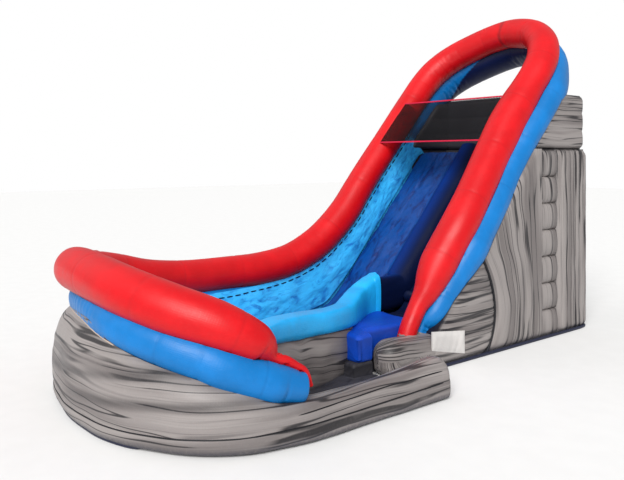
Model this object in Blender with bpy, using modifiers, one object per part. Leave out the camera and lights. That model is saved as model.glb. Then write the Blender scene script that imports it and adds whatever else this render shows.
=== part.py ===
"""Inflatable water slide: a tower with a slide lane beside a climbing lane, a splash pool,
an entrance corner with a low wall, and a red tube stacked on a blue one that runs from the
near foot of the slope over the arch, down the far side and round the pool.

X runs across the tower with +X on the entrance side, -Y points to the pool and Z is up.
The origin is on the ground under the middle of the tower."""

import math

import bmesh
import bpy
from mathutils import Vector

# Clearance between pieces that touch
GAP = 0.0003

# Slope and deck
SLOPE = math.radians(48.2)
DECK_TOP = 3.40
DECK_EDGE = 0.60
DECK_THICKNESS = 0.30
BED_THICKNESS = 0.35

# Red tube: its axis runs in a plane parallel to the slope, this far above the lanes
AXIS_ABOVE_LANE = 0.75
RED_SLOPE_RADIUS = 0.295
RED_ARCH_RADIUS = 0.30
RED_POOL_RADIUS = 0.300
LEG_X = 1.488
ARCH_START = 0.08
ARCH_RISE = 1.79
NEAR_LEG_LEAN = 0.24
NEAR_SHOULDER_RADIUS = 0.34

# Blue tube, stacked under the red one
BLUE_RADIUS = 0.28
BLUE_ARCH_RADIUS = 0.28
BLUE_POOL_RADIUS = 0.25
STACK = 0.36
ARCH_STACK = 0.43
POOL_STACK = 0.40
BLUE_OUTSET = 0.06
LEG_OUTSET = 0.10
CORNER_INSET = 0.22
POOL_WALL_CORNER_INSET = 0.03
POOL_WALL_OUTSET = 0.09

# Tower walls
WALL_OUTER = 1.82
WALL_INNER = 1.30
TOWER_REAR = 2.00
REAR_WALL_FRONT = 1.50
BODY_TOP = 3.45
WALL_TOP_BELOW_RED_AXIS = 0.45
TOE_FRONT = -3.50
TOE_TOP = 0.50
COLUMN_FRONT = 0.40
FAR_WALL_END = -2.60
CREASE_TOP_Y = -1.32
CREASE_FOOT_Y = -1.15
CREASE_BULGE = (-0.62, 0.75)

# Guard walls round the deck
GUARD_OUTER = 1.77
GUARD_INNER = 1.27
GUARD_REAR = 1.95
GUARD_REAR_FRONT = 1.47
GUARD_TOP = 4.50

# Lanes, seen from the front: slide on the far side, divider, climb on the near side
DIVIDER_MIN_X = 0.14
DIVIDER_MAX_X = 0.44
DIVIDER_ABOVE_LANE = 0.20
DIVIDER_FOOT_TOP = 1.20
DIVIDER_FRONT = -2.30
RUNOUT_TOP = 0.40
RUNOUT_FRONT = -3.90
CLIMB_FOOT_TOP = 0.62
CLIMB_FOOT_FRONT = -2.30
CLIMB_STEPS = 7
STEP_RADIUS = 0.09
STEP_PITCH = 0.50
FIRST_STEP = 0.45

# Pool and entrance
POOL_FLOOR_TOP = 0.24
POOL_WALL_WIDTH = 0.63
LOW_WALL_X = 2.575
LOW_WALL_END = -3.42
LOW_WALL_START = -5.62
LOW_WALL_TOP = 0.62
LOW_WALL_WIDTH = 0.54
LOW_WALL_ROUNDING = 0.30
SPLASH_WIDTH = 0.34
SPLASH_GREY_TOP = 0.74
SPLASH_BLUE_RADIUS = 0.22
SPLASH_BLUE_AXIS = 0.96
MAT_TOP = 0.66
STEP_NEAR_X = 1.48
STEP_FRONT = -3.95
STEP_FAR_X = 0.33
FLOOR_THICKNESS = 0.08
BASE_THICKNESS = 0.25
BASE_FRONT = -1.60
SPLASH_PLAN = [(0.29, -2.302), (0.29, -2.40), (0.29, -2.50), (0.37, -2.80), (0.64, -3.20),
               (1.00, -3.70), (1.24, -4.30), (1.38, -4.95), (1.68, -5.50), (2.15, -5.92)]

# Safety net across the slope, measured along the slope from the deck edge
NET_TOP = 0.50
NET_BOTTOM = -0.62
NET_ABOVE_AXIS = 0.25
NET_HALF_LENGTH = 1.40
NET_THICKNESS = 0.008
HEM_RADIUS = 0.018

CUT_GROWTH = 0.0003
MARGIN = 0.1
TUBE_STEP = 0.30
WALL_STEP = 0.35
SPLASH_STEP = 0.25
STUB = 0.12

COS = math.cos(SLOPE)
SIN = math.sin(SLOPE)
TAN = math.tan(SLOPE)
SLOPE_NORMAL = Vector((0.0, -SIN, COS))


# Scene and collections

def clear_scene():
    for obj in list(bpy.data.objects):
        bpy.data.objects.remove(obj, do_unlink=True)


def new_collection(name):
    collection = bpy.data.collections.new(name)
    bpy.context.scene.collection.children.link(collection)
    return collection


clear_scene()
PARTS = new_collection("water_slide")
CUTTERS = new_collection("cutters")


def link(obj, collection):
    for other in list(obj.users_collection):
        other.objects.unlink(obj)
    collection.objects.link(obj)
    return obj


def as_cutter(obj):
    obj.hide_render = True
    obj.display_type = "WIRE"
    return link(obj, CUTTERS)


# Materials

PALETTE = {
    "red": (0.75, 0.01, 0.02, 0.35),
    "light_blue": (0.02, 0.28, 0.83, 0.35),
    "lane_blue": (0.01, 0.13, 0.40, 0.40),
    "royal_blue": (0.005, 0.05, 0.55, 0.50),
    "grey_marble": (0.35, 0.32, 0.30, 0.45),
    "dark_floor": (0.05, 0.05, 0.07, 0.60),
    "net_black": (0.02, 0.02, 0.02, 0.80),
    "hem_red": (0.80, 0.05, 0.12, 0.50),
}


def material(name, colour):
    red, green, blue, roughness = PALETTE[colour]
    made = bpy.data.materials.new(name + "_" + colour)
    made.use_nodes = True
    shader = made.node_tree.nodes["Principled BSDF"]
    shader.inputs["Base Color"].default_value = (red, green, blue, 1.0)
    shader.inputs["Roughness"].default_value = roughness
    shader.inputs["Metallic"].default_value = 0.0
    made.diffuse_color = (red, green, blue, 1.0)
    return made


# Geometry on the slope

def lane_height(y):
    """Height of the lane surface's slope plane at a given Y."""
    return DECK_TOP + TAN * (y - DECK_EDGE)


def lane_y(z):
    return DECK_EDGE + (z - DECK_TOP) / TAN


def on_slope(x, along, above_lane):
    """A point by its distance up the slope from the deck edge and its height off the lane."""
    return Vector((x,
                   DECK_EDGE + COS * along - SIN * above_lane,
                   DECK_TOP + SIN * along + COS * above_lane))


def red_axis_height(y):
    return lane_height(y) + AXIS_ABOVE_LANE / COS


def wall_line(y):
    """Height of the side walls' sloping top edge."""
    return red_axis_height(y) - WALL_TOP_BELOW_RED_AXIS / COS


def wall_line_y(z):
    return DECK_EDGE + (z - wall_line(DECK_EDGE)) / TAN


# Smooth routes

class Route:
    """A smooth curve through points given as (x, y, z, radius), measured by its length."""

    FINE = 24

    def __init__(self, points):
        rows = [Vector(point) for point in points]
        rows = [rows[0] * 2 - rows[1]] + rows + [rows[-1] * 2 - rows[-2]]
        self.rows = []
        for index in range(1, len(rows) - 2):
            for fine in range(self.FINE):
                self.rows.append(self.blend(rows[index - 1:index + 3], fine / self.FINE))
        self.rows.append(rows[-2].copy())
        self.lengths = [0.0]
        for before, after in zip(self.rows, self.rows[1:]):
            self.lengths.append(self.lengths[-1] + (after.xyz - before.xyz).length)

    @staticmethod
    def blend(rows, t):
        a, b, c, d = rows
        return 0.5 * ((2 * b) + (c - a) * t + (2 * a - 5 * b + 4 * c - d) * t * t
                      + (3 * b - a - 3 * c + d) * t * t * t)

    @property
    def length(self):
        return self.lengths[-1]

    def at(self, distance):
        distance = min(max(distance, 0.0), self.length)
        for index in range(len(self.rows) - 1):
            if distance <= self.lengths[index + 1]:
                span = self.lengths[index + 1] - self.lengths[index]
                t = (distance - self.lengths[index]) / span if span else 0.0
                return self.rows[index].lerp(self.rows[index + 1], t)
        return self.rows[-1].copy()

    def direction(self, distance):
        ahead = self.at(distance + 0.02).xyz
        behind = self.at(distance - 0.02).xyz
        return (ahead - behind).normalized()

    def nearest(self, point):
        target = Vector(point)
        gaps = [(row.xyz - target).length for row in self.rows]
        return self.lengths[gaps.index(min(gaps))]

    def stations(self, start, end, step):
        count = max(1, math.ceil((end - start) / step))
        return [start + (end - start) * index / count for index in range(count + 1)]

    def joint_stub(self, distance, side):
        """A point just beside a joint, straight along the joint's own direction."""
        centre = self.at(distance)
        moved = centre.xyz + self.direction(distance) * side
        return Vector((*moved, centre.w))

    def piece(self, start, end, step=TUBE_STEP):
        """Points of one length of tube, with square ends where it meets its neighbours."""
        inner = self.stations(start, end, step)[1:-1]
        points = []
        if start > 0.0:
            points.append(self.joint_stub(start, GAP / 2))
            points.append(self.joint_stub(start, STUB))
        else:
            points.append(self.at(0.0))
        points += [self.at(distance) for distance in inner]
        if end < self.length:
            points.append(self.joint_stub(end, -STUB))
            points.append(self.joint_stub(end, -GAP / 2))
        else:
            points.append(self.at(self.length))
        return points


# Building blocks

def new_mesh_object(name, mesh, colour=None):
    obj = bpy.data.objects.new(name, mesh)
    PARTS.objects.link(obj)
    if colour:
        mesh.materials.append(material(name, colour))
    return obj


def curve_object(name, dimensions):
    curve = bpy.data.curves.new(name, "CURVE")
    curve.dimensions = dimensions
    obj = bpy.data.objects.new(name, curve)
    PARTS.objects.link(obj)
    return obj, curve


def to_mesh(obj, colour=None, triangles=False):
    """Turns a curve object into a mesh object with welded caps. Bent faces are split into
    triangles, so that a cutter of the same shape bends in the same way."""
    bpy.context.view_layer.update()
    graph = bpy.context.evaluated_depsgraph_get()
    mesh = bpy.data.meshes.new_from_object(obj.evaluated_get(graph))
    name = obj.name
    matrix = obj.matrix_world.copy()
    bpy.data.objects.remove(obj, do_unlink=True)
    shape = bmesh.new()
    shape.from_mesh(mesh)
    bmesh.ops.remove_doubles(shape, verts=shape.verts, dist=0.0001)
    bmesh.ops.recalc_face_normals(shape, faces=shape.faces)
    if triangles:
        bmesh.ops.triangulate(shape, faces=shape.faces, quad_method="FIXED")
    shape.to_mesh(mesh)
    shape.free()
    mesh.materials.clear()
    made = new_mesh_object(name, mesh, colour)
    made.matrix_world = matrix
    return made


def longer(end, inner, growth):
    """The end point of a tube moved outward, away from the point before it."""
    outward = (end.xyz - inner.xyz).normalized()
    return Vector((*(end.xyz + outward * growth), end.w))


def tube(name, points, colour=None, growth=0.0, resolution=4):
    """A round tube along points that carry their own radius."""
    obj, curve = curve_object(name, "3D")
    spline = curve.splines.new("POLY")
    spline.points.add(len(points) - 1)
    if growth:
        points = [longer(points[0], points[1], growth)] + points[1:-1] + [
            longer(points[-1], points[-2], growth)]
    widest = max(point.w for point in points) + growth
    for target, point in zip(spline.points, points):
        target.co = (point.x, point.y, point.z, 1.0)
        target.radius = (point.w + growth) / widest
    curve.bevel_depth = widest
    curve.bevel_resolution = resolution
    curve.use_fill_caps = True
    made = to_mesh(obj, colour, triangles=True)
    made.data.shade_smooth()
    made.data.set_sharp_from_angle(angle=math.radians(50))
    return made


def slab(name, outline, start, end, plane, colour=None, bevel=0.0):
    """A flat outline given depth: plane YZ runs it along X, plane XZ along Y, plane XY up Z."""
    obj, curve = curve_object(name, "2D")
    spline = curve.splines.new("POLY")
    spline.points.add(len(outline) - 1)
    for target, point in zip(spline.points, outline):
        target.co = (point[0], point[1], 0.0, 1.0)
    spline.use_cyclic_u = True
    curve.fill_mode = "BOTH"
    curve.extrude = abs(end - start) / 2
    middle = (start + end) / 2
    if plane == "YZ":
        obj.rotation_euler = (math.pi / 2, 0.0, math.pi / 2)
        obj.location = (middle, 0.0, 0.0)
    elif plane == "XZ":
        obj.rotation_euler = (math.pi / 2, 0.0, 0.0)
        obj.location = (0.0, middle, 0.0)
    else:
        obj.location = (0.0, 0.0, middle)
    made = to_mesh(obj, colour)
    if bevel:
        rounding = made.modifiers.new("rounded_edges", "BEVEL")
        rounding.width = bevel
        rounding.segments = 3
        rounding.limit_method = "ANGLE"
        rounding.angle_limit = math.radians(40)
    return made


def loft(name, sections, colour=None):
    """Skins closed sections with equal numbers of points, and caps both ends."""
    shape = bmesh.new()
    rings = [[shape.verts.new(point) for point in section] for section in sections]
    count = len(rings[0])
    for before, after in zip(rings, rings[1:]):
        for index in range(count):
            following = (index + 1) % count
            shape.faces.new((before[index], before[following], after[following], after[index]))
    shape.faces.new(rings[0])
    shape.faces.new(rings[-1])
    bmesh.ops.recalc_face_normals(shape, faces=shape.faces)
    bmesh.ops.triangulate(shape, faces=shape.faces, quad_method="FIXED")
    mesh = bpy.data.meshes.new(name)
    shape.to_mesh(mesh)
    shape.free()
    made = new_mesh_object(name, mesh, colour)
    mesh.shade_smooth()
    mesh.set_sharp_from_angle(angle=math.radians(50))
    return made


def wall_section(centre, across, half_width, top):
    """One section of an inflated wall: a flat foot, full sides and a rounded top."""
    belly = min(0.42, 0.42 * top)
    shoulder = top - min(0.26, 0.35 * top)
    half = [(0.94, 0.0), (1.0, 0.4 * belly), (1.0, belly), (0.91, shoulder),
            (0.72, top - 0.06), (0.44, top)]
    mirrored = [(-share, z) for share, z in reversed(half)]
    section = []
    for share, z in half + mirrored:
        spot = centre + across * (share * half_width)
        section.append((spot.x, spot.y, z))
    return section


def wall(name, route, spots, top_of, width, colour=None, growth=0.0):
    """An inflated wall standing on the ground along a route, with a top that may rise.
    A growth makes a cutter that is larger all round, and no growth leaves a gap at the ends."""
    sections = []
    for distance in spots:
        ahead = route.direction(distance)
        flat = Vector((ahead.x, ahead.y, 0.0)).normalized()
        across = Vector((-flat.y, flat.x, 0.0))
        spot = route.at(distance).xyz
        centre = Vector((spot.x, spot.y, 0.0))
        end_shift = growth if growth else -GAP
        if distance == spots[0]:
            centre -= flat * end_shift
        if distance == spots[-1]:
            centre += flat * end_shift
        half_width = width / 2 + growth
        section = wall_section(centre, across, half_width, top_of(distance) + growth)
        if growth:
            section = [(x, y, z if z > 0.0 else -growth) for x, y, z in section]
        sections.append(section)
    return loft(name, sections, colour)


def cut(obj, *cutters):
    for number, cutter in enumerate(cutters):
        trim = obj.modifiers.new("trim_%d" % (number + 1), "BOOLEAN")
        trim.operation = "DIFFERENCE"
        trim.solver = "EXACT"
        trim.object = cutter
    return obj


# The red tube's route: near foot, near leg, arch, far leg, far side of the pool, pool end

def leg_point(x, y, radius):
    return (x, y, red_axis_height(y), radius)


def arch_point(degrees):
    angle = math.radians(degrees)
    along = ARCH_START + ARCH_RISE * math.sin(angle)
    spot = on_slope(LEG_X * math.cos(angle), along, 0.0)
    lift = AXIS_ABOVE_LANE / COS
    share = math.sin(angle)
    radius = RED_SLOPE_RADIUS + (RED_ARCH_RADIUS - RED_SLOPE_RADIUS) * share
    return (spot.x, spot.y, spot.z + lift, radius)


NEAR_FOOT = [
    (1.445, -2.72, 0.46, 0.095),
    (1.450, -2.55, 0.74, 0.150),
    (1.460, -2.31, 1.09, 0.215),
    (1.474, -1.98, 1.56, 0.270),
]
NEAR_LEG = [
    leg_point(LEG_X, -1.55, RED_SLOPE_RADIUS),
    leg_point(LEG_X, -1.00, RED_SLOPE_RADIUS),
    leg_point(LEG_X - NEAR_LEG_LEAN / 2, -0.40, 0.31),
    leg_point(LEG_X - NEAR_LEG_LEAN, 0.20, NEAR_SHOULDER_RADIUS),
]
NEAR_SHOULDER = [
    (*(Vector(arch_point(0)[:3]) - Vector((0.20, 0.0, 0.0))), NEAR_SHOULDER_RADIUS),
    (*(Vector(arch_point(15)[:3]) - Vector((0.10, 0.0, 0.0))), 0.32),
]
ARCH = NEAR_SHOULDER + [arch_point(degrees) for degrees in range(30, 181, 15)]
FAR_LEG = [leg_point(-LEG_X, y, RED_SLOPE_RADIUS) for y in (0.2, -0.4, -1.0)]
FAR_BEND = [
    (-1.490, -1.42, 2.24, 0.300),
    (-1.500, -1.80, 1.88, 0.305),
    (-1.515, -2.22, 1.59, 0.310),
]
POOL = [
    (-1.535, -2.80, 1.35, 0.305),
    (-1.560, -3.45, 1.24, 0.305),
    (-1.575, -4.20, 1.23, 0.300),
    (-1.580, -5.00, 1.24, 0.300),
    (-1.570, -5.70, 1.32, 0.300),
    (-1.490, -6.30, 1.48, RED_POOL_RADIUS),
    (-1.260, -6.82, 1.62, RED_POOL_RADIUS),
    (-0.830, -7.16, 1.74, RED_POOL_RADIUS),
    (-0.200, -7.30, 1.78, RED_POOL_RADIUS),
    (0.550, -7.32, 1.75, RED_POOL_RADIUS),
    (1.220, -7.22, 1.66, RED_POOL_RADIUS),
    (1.780, -6.96, 1.52, RED_POOL_RADIUS),
    (2.160, -6.61, 1.37, 0.280),
    (2.360, -6.27, 1.17, 0.245),
    (2.455, -5.99, 0.98, 0.175),
    (2.510, -5.77, 0.88, 0.100),
    (2.550, -5.60, 0.81, 0.050),
]

RED = Route(NEAR_FOOT + NEAR_LEG + ARCH + FAR_LEG + FAR_BEND + POOL)


def blend(low, high, share):
    return low + (high - low) * min(1.0, max(0.0, share))


def blue_point(distance, stack, outset, radius):
    """The blue tube's axis beside a point of the red one."""
    spot = RED.at(distance).xyz
    ahead = RED.direction(distance)
    if RED_ARCH_FROM - 1.0 < distance < RED_ARCH_TO + 0.5:
        up = SLOPE_NORMAL
        outward = ahead.cross(up).normalized()
    else:
        outward = ahead.cross(Vector((0.0, 0.0, 1.0))).normalized()
        up = outward.cross(ahead)
    place = spot - up * stack + outward * outset
    return (place.x, place.y, place.z, radius)


RED_ARCH_FROM = RED.nearest(NEAR_SHOULDER[0][:3])
RED_ARCH_TO = RED.nearest(arch_point(180)[:3])
RED_POOL_FROM = RED.nearest(POOL[0][:3])
RED_CORNER = RED.nearest(POOL[6][:3])
RED_POOL_FRONT = RED.nearest(POOL[10][:3])


def blue_route():
    points = []
    arch_middle = (RED_ARCH_FROM + RED_ARCH_TO) / 2
    arch_half = arch_middle - RED_ARCH_FROM
    for distance in RED.stations(0.0, RED.length, 0.40):
        if distance < RED_POOL_FROM:
            foot = min(1.0, distance / 1.1)
            arch = 1.0 - abs(distance - arch_middle) / (arch_half + 0.8)
            stack = blend(STACK, ARCH_STACK, 2.0 * arch) * blend(0.65, 1.0, foot)
            radius = blend(0.13, blend(BLUE_RADIUS, BLUE_ARCH_RADIUS, 2.0 * arch), foot)
            outset = LEG_OUTSET
            if distance < RED_ARCH_FROM:
                outset += NEAR_LEG_LEAN * blend(0.0, 1.0, (distance - 1.6) / (RED_ARCH_FROM - 1.6))
            points.append(blue_point(distance, stack, outset, radius))
        else:
            share = (distance - RED_POOL_FROM) / 1.5
            radius = blend(BLUE_RADIUS, BLUE_POOL_RADIUS, share)
            tail = (RED.length - distance) / 1.0
            stack = blend(STACK, POOL_STACK, share) * blend(0.75, 1.0, tail)
            if distance < RED_CORNER:
                fade = blend(LEG_OUTSET, 0.0, (distance - RED_POOL_FROM) / 1.5)
                outset = fade - CORNER_INSET * blend(0.0, 1.0, 1.0 - (RED_CORNER - distance) / 1.6)
            else:
                span = RED_POOL_FRONT - RED_CORNER
                outset = blend(-CORNER_INSET, BLUE_OUTSET, (distance - RED_CORNER) / span)
            points.append(blue_point(distance, stack, outset, radius))
    return Route(points)


BLUE = blue_route()

# Splits of both tubes, given by points of the red route
SPLITS = {
    "near": (None, NEAR_SHOULDER[0]),
    "arch": (NEAR_SHOULDER[0], arch_point(180)),
    "far": (arch_point(180), POOL[1]),
    "pool_side": (POOL[1], POOL[5]),
    "pool_end": (POOL[5], None),
}


def whole_tube(name, route, colour=None, growth=0.0):
    """The tube in one run, through the same points whether it is a part or a cutter."""
    points = []
    for start, end in SPLITS.values():
        first = route.nearest(start[:3]) if start else 0.0
        last = route.nearest(end[:3]) if end else route.length
        points += route.piece(first, last)
    return tube(name, points, colour, growth)


def islands(shape):
    """The connected groups of vertices."""
    left = set(shape.verts)
    groups = []
    for vert in shape.verts:
        if vert not in left:
            continue
        group = []
        waiting = [vert]
        left.discard(vert)
        while waiting:
            current = waiting.pop()
            group.append(current)
            for edge in current.link_edges:
                other = edge.other_vert(current)
                if other in left:
                    left.discard(other)
                    waiting.append(other)
        groups.append(group)
    return groups


def place_along(group, route):
    """How far along its route a group of vertices lies."""
    middle = sum((vert.co for vert in group), Vector()) / len(group)
    return route.nearest(middle)


def split_tube(whole, route, names, colour):
    """Opens the tube at its joints, caps the ends and makes an object of each length."""
    shape = bmesh.new()
    shape.from_mesh(whole.data)
    short = [face for face in shape.faces
             if min(edge.calc_length() for edge in face.edges) < 2 * GAP]
    bmesh.ops.delete(shape, geom=short, context="FACES")
    bmesh.ops.holes_fill(shape, edges=shape.edges)
    shape.verts.ensure_lookup_table()
    pieces = []
    groups = sorted(islands(shape), key=lambda group: place_along(group, route))
    for name, group in zip(names, groups):
        chosen = set(group)
        part = shape.copy()
        part.verts.ensure_lookup_table()
        keep = {vert.index for vert in chosen}
        bmesh.ops.delete(part, geom=[v for v in part.verts if v.index not in keep], context="VERTS")
        bmesh.ops.recalc_face_normals(part, faces=part.faces)
        mesh = bpy.data.meshes.new(name)
        part.to_mesh(mesh)
        part.free()
        made = new_mesh_object(name, mesh, colour)
        mesh.shade_smooth()
        mesh.set_sharp_from_angle(angle=math.radians(50))
        pieces.append(made)
    shape.free()
    bpy.data.objects.remove(whole, do_unlink=True)
    return pieces


def add_tubes():
    red_cutter = as_cutter(whole_tube("red_cutter", RED, growth=CUT_GROWTH))
    blue_cutter = as_cutter(whole_tube("blue_cutter", BLUE, growth=CUT_GROWTH))
    red_names = ["red_tube_" + place for place in SPLITS]
    blue_names = ["blue_tube_" + place for place in SPLITS]
    split_tube(whole_tube("red_whole", RED), RED, red_names, "red")
    for made in split_tube(whole_tube("blue_whole", BLUE), BLUE, blue_names, "light_blue"):
        cut(made, red_cutter)
    return red_cutter, blue_cutter


RED_CUTTER, BLUE_CUTTER = add_tubes()


# Tower side walls

def crease(shift=0.0, count=8):
    """The curved seam between a side wall's front and middle panels, from its top down."""
    top = (CREASE_TOP_Y, wall_line(CREASE_TOP_Y))
    foot = (CREASE_FOOT_Y, 0.0)
    points = []
    for index in range(count + 1):
        t = index / count
        y = (1 - t) ** 2 * top[0] + 2 * t * (1 - t) * CREASE_BULGE[0] + t * t * foot[0]
        z = (1 - t) ** 2 * top[1] + 2 * t * (1 - t) * CREASE_BULGE[1] + t * t * foot[1]
        points.append((y + shift, z))
    points[0] = (points[0][0], wall_line(points[0][0]))
    return points


def near_front_outline():
    return [(TOE_FRONT, 0.0), (TOE_FRONT, TOE_TOP), (wall_line_y(TOE_TOP), TOE_TOP)] + crease(-GAP / 2)


def far_front_outline():
    follow = [(FAR_WALL_END, 0.0), (FAR_WALL_END, 1.02), (-2.25, 1.14), (-1.82, 1.36)]
    return follow + crease(-GAP / 2)


def middle_outline():
    seam = crease(GAP / 2)
    edge = COLUMN_FRONT - GAP / 2
    return seam + [(edge, 0.0), (edge, BODY_TOP), (wall_line_y(BODY_TOP), BODY_TOP)]


def column_outline():
    edge = COLUMN_FRONT + GAP / 2
    return [(edge, 0.0), (TOWER_REAR, 0.0), (TOWER_REAR, BODY_TOP), (edge, BODY_TOP)]


def add_side_walls():
    for side, sign in (("near", 1.0), ("far", -1.0)):
        front = near_front_outline() if side == "near" else far_front_outline()
        outlines = {"front": front, "middle": middle_outline(), "column": column_outline()}
        for place, outline in outlines.items():
            made = slab("side_wall_%s_%s" % (side, place), outline,
                        sign * WALL_INNER, sign * WALL_OUTER, "YZ", "grey_marble", 0.08)
            cut(made, BLUE_CUTTER)
            if place == "front":
                cut(made, RED_CUTTER)


add_side_walls()


# Rear wall, deck, guard walls and the base chamber inside the tower

def add_tower():
    inside = WALL_INNER - GAP
    slab("rear_wall", [(-inside, 0.0), (inside, 0.0), (inside, BODY_TOP), (-inside, BODY_TOP)],
         REAR_WALL_FRONT, TOWER_REAR, "XZ", "grey_marble", 0.08)
    deck_under = DECK_TOP - DECK_THICKNESS
    deck = [(DECK_EDGE + GAP, deck_under), (REAR_WALL_FRONT - GAP, deck_under),
            (REAR_WALL_FRONT - GAP, DECK_TOP), (DECK_EDGE + GAP, DECK_TOP)]
    slab("deck", deck, -inside, inside, "YZ", "lane_blue")
    base = [(BASE_FRONT, 0.0), (REAR_WALL_FRONT - GAP, 0.0),
            (REAR_WALL_FRONT - GAP, BASE_THICKNESS), (BASE_FRONT, BASE_THICKNESS)]
    slab("base_chamber", base, -inside, inside, "YZ", "grey_marble")


def add_guard_walls():
    floor = BODY_TOP + GAP
    outline = [(wall_line_y(floor), floor), (GUARD_REAR, floor), (GUARD_REAR, GUARD_TOP),
               (wall_line_y(GUARD_TOP), GUARD_TOP)]
    for side, sign in (("near", 1.0), ("far", -1.0)):
        made = slab("guard_wall_" + side, outline, sign * GUARD_INNER, sign * GUARD_OUTER,
                    "YZ", "grey_marble", 0.08)
        cut(made, BLUE_CUTTER)
    inside = GUARD_INNER - GAP
    crown = [(-inside, floor), (inside, floor), (inside, GUARD_TOP), (0.6, GUARD_TOP + 0.06),
             (-0.6, GUARD_TOP + 0.06), (-inside, GUARD_TOP)]
    slab("guard_wall_rear", crown, GUARD_REAR_FRONT, GUARD_REAR, "XZ", "grey_marble", 0.08)


add_tower()
add_guard_walls()


# Pool wall, low entrance wall and splash wall

def pool_wall_route():
    """The pool wall's centre line on the ground, with the height that it reaches."""
    start = RED.nearest((-1.53, FAR_WALL_END - 0.3, 1.5))
    first = RED.at(start)
    points = [(first.x, FAR_WALL_END - GAP, 0.0, 1.10)]
    for distance in RED.stations(start, RED.length - 0.02, 0.40):
        spot = RED.at(distance)
        ahead = RED.direction(distance)
        outward = ahead.cross(Vector((0.0, 0.0, 1.0))).normalized()
        if distance < RED_CORNER:
            outset = blend(0.0, -POOL_WALL_CORNER_INSET, 1.0 - (RED_CORNER - distance) / 1.6)
        else:
            share = (distance - RED_CORNER) / (RED_POOL_FRONT - RED_CORNER)
            outset = blend(-POOL_WALL_CORNER_INSET, POOL_WALL_OUTSET, share)
        place = spot.xyz + outward * outset
        blue = BLUE.at(BLUE.nearest(spot.xyz - Vector((0.0, 0.0, POOL_STACK))))
        top = max(0.42, blue.z - 0.08)
        points.append((place.x, place.y, 0.0, top))
    return Route(points)


POOL_WALL = pool_wall_route()


def pool_wall_spans():
    corner = POOL_WALL.nearest((POOL[5][0], POOL[5][1], 0.0))
    front = POOL_WALL.nearest((POOL[9][0], POOL[9][1], 0.0))
    return {
        "pool_wall_far": POOL_WALL.stations(0.0, corner, WALL_STEP),
        "pool_wall_front": POOL_WALL.stations(corner, front, WALL_STEP),
        "pool_wall_corner": POOL_WALL.stations(front, POOL_WALL.length, WALL_STEP),
    }


def pool_wall_top(distance):
    return POOL_WALL.at(distance).w


def add_pool_walls():
    every = []
    for name, spots in pool_wall_spans().items():
        made = wall(name, POOL_WALL, spots, pool_wall_top, POOL_WALL_WIDTH, "grey_marble")
        cut(made, BLUE_CUTTER, RED_CUTTER)
        every += spots if not every else spots[1:]
    grown = wall("pool_wall_cutter", POOL_WALL, every, pool_wall_top, POOL_WALL_WIDTH,
                 growth=CUT_GROWTH)
    return as_cutter(grown)


POOL_WALL_CUTTER = add_pool_walls()


def low_wall_route():
    end = POOL_WALL.at(POOL_WALL.length)
    return Route([(end.x, end.y, 0.0, 0.1), (LOW_WALL_X, LOW_WALL_START + 0.35, 0.0, 0.1),
                  (LOW_WALL_X, -4.6, 0.0, 0.1), (LOW_WALL_X, LOW_WALL_END, 0.0, 0.1)])


LOW_WALL = low_wall_route()


def low_wall_top(distance):
    """The low wall's flat top, sinking to a soft round at its free end."""
    left = LOW_WALL.length - distance
    return LOW_WALL_TOP - 0.10 * max(0.0, 1.0 - left / LOW_WALL_ROUNDING) ** 2


def add_low_wall():
    spots = LOW_WALL.stations(0.0, LOW_WALL.length, WALL_STEP)
    made = wall("low_wall", LOW_WALL, spots, low_wall_top, LOW_WALL_WIDTH, "grey_marble")
    cut(made, POOL_WALL_CUTTER, BLUE_CUTTER, RED_CUTTER)
    cutter = wall("low_wall_cutter", LOW_WALL, spots, low_wall_top, LOW_WALL_WIDTH,
                  growth=CUT_GROWTH)
    return as_cutter(cutter)


LOW_WALL_CUTTER = add_low_wall()

SPLASH = Route([(x, y, SPLASH_BLUE_AXIS, SPLASH_BLUE_RADIUS) for x, y in SPLASH_PLAN])


def splash_wall_top(_):
    """The wall reaches into the tube that lies on it, and is hollowed to hold it."""
    return SPLASH_GREY_TOP + MARGIN


def add_splash_wall():
    spots = SPLASH.stations(0.0, SPLASH.length, SPLASH_STEP)
    points = [SPLASH.at(distance) for distance in [0.0, 0.08] + spots[1:]]
    tube_cutter = as_cutter(tube("splash_tube_cutter", points, growth=CUT_GROWTH))
    lower = wall("splash_wall", SPLASH, spots, splash_wall_top, SPLASH_WIDTH, "grey_marble")
    cut(lower, tube_cutter, POOL_WALL_CUTTER, BLUE_CUTTER, RED_CUTTER)
    points[0] = Vector((*(points[0].xyz + SPLASH.direction(0.0) * GAP), points[0].w))
    upper = tube("splash_wall_tube", points, "light_blue")
    cut(upper, POOL_WALL_CUTTER, BLUE_CUTTER, RED_CUTTER)
    grown = wall("splash_wall_cutter", SPLASH, spots, splash_wall_top, SPLASH_WIDTH,
                 growth=CUT_GROWTH)
    return as_cutter(grown)


SPLASH_CUTTER = add_splash_wall()


# Slide lane, climbing lane and the divider between them

def bed_outline(foot_y, foot_top, front):
    """A sloping bed from the deck edge to a level foot that stands on the ground."""
    under = BED_THICKNESS / COS
    return [(DECK_EDGE, DECK_TOP), (lane_y(foot_top), foot_top), (front, foot_top), (front, 0.0),
            (foot_y, 0.0), (DECK_EDGE, DECK_TOP - under)]


def arc_points(centre, radius, start, end, count):
    points = []
    for index in range(count + 1):
        angle = math.radians(start + (end - start) * index / count)
        points.append((centre[0] + radius * math.cos(angle), centre[1] + radius * math.sin(angle)))
    return points


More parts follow.
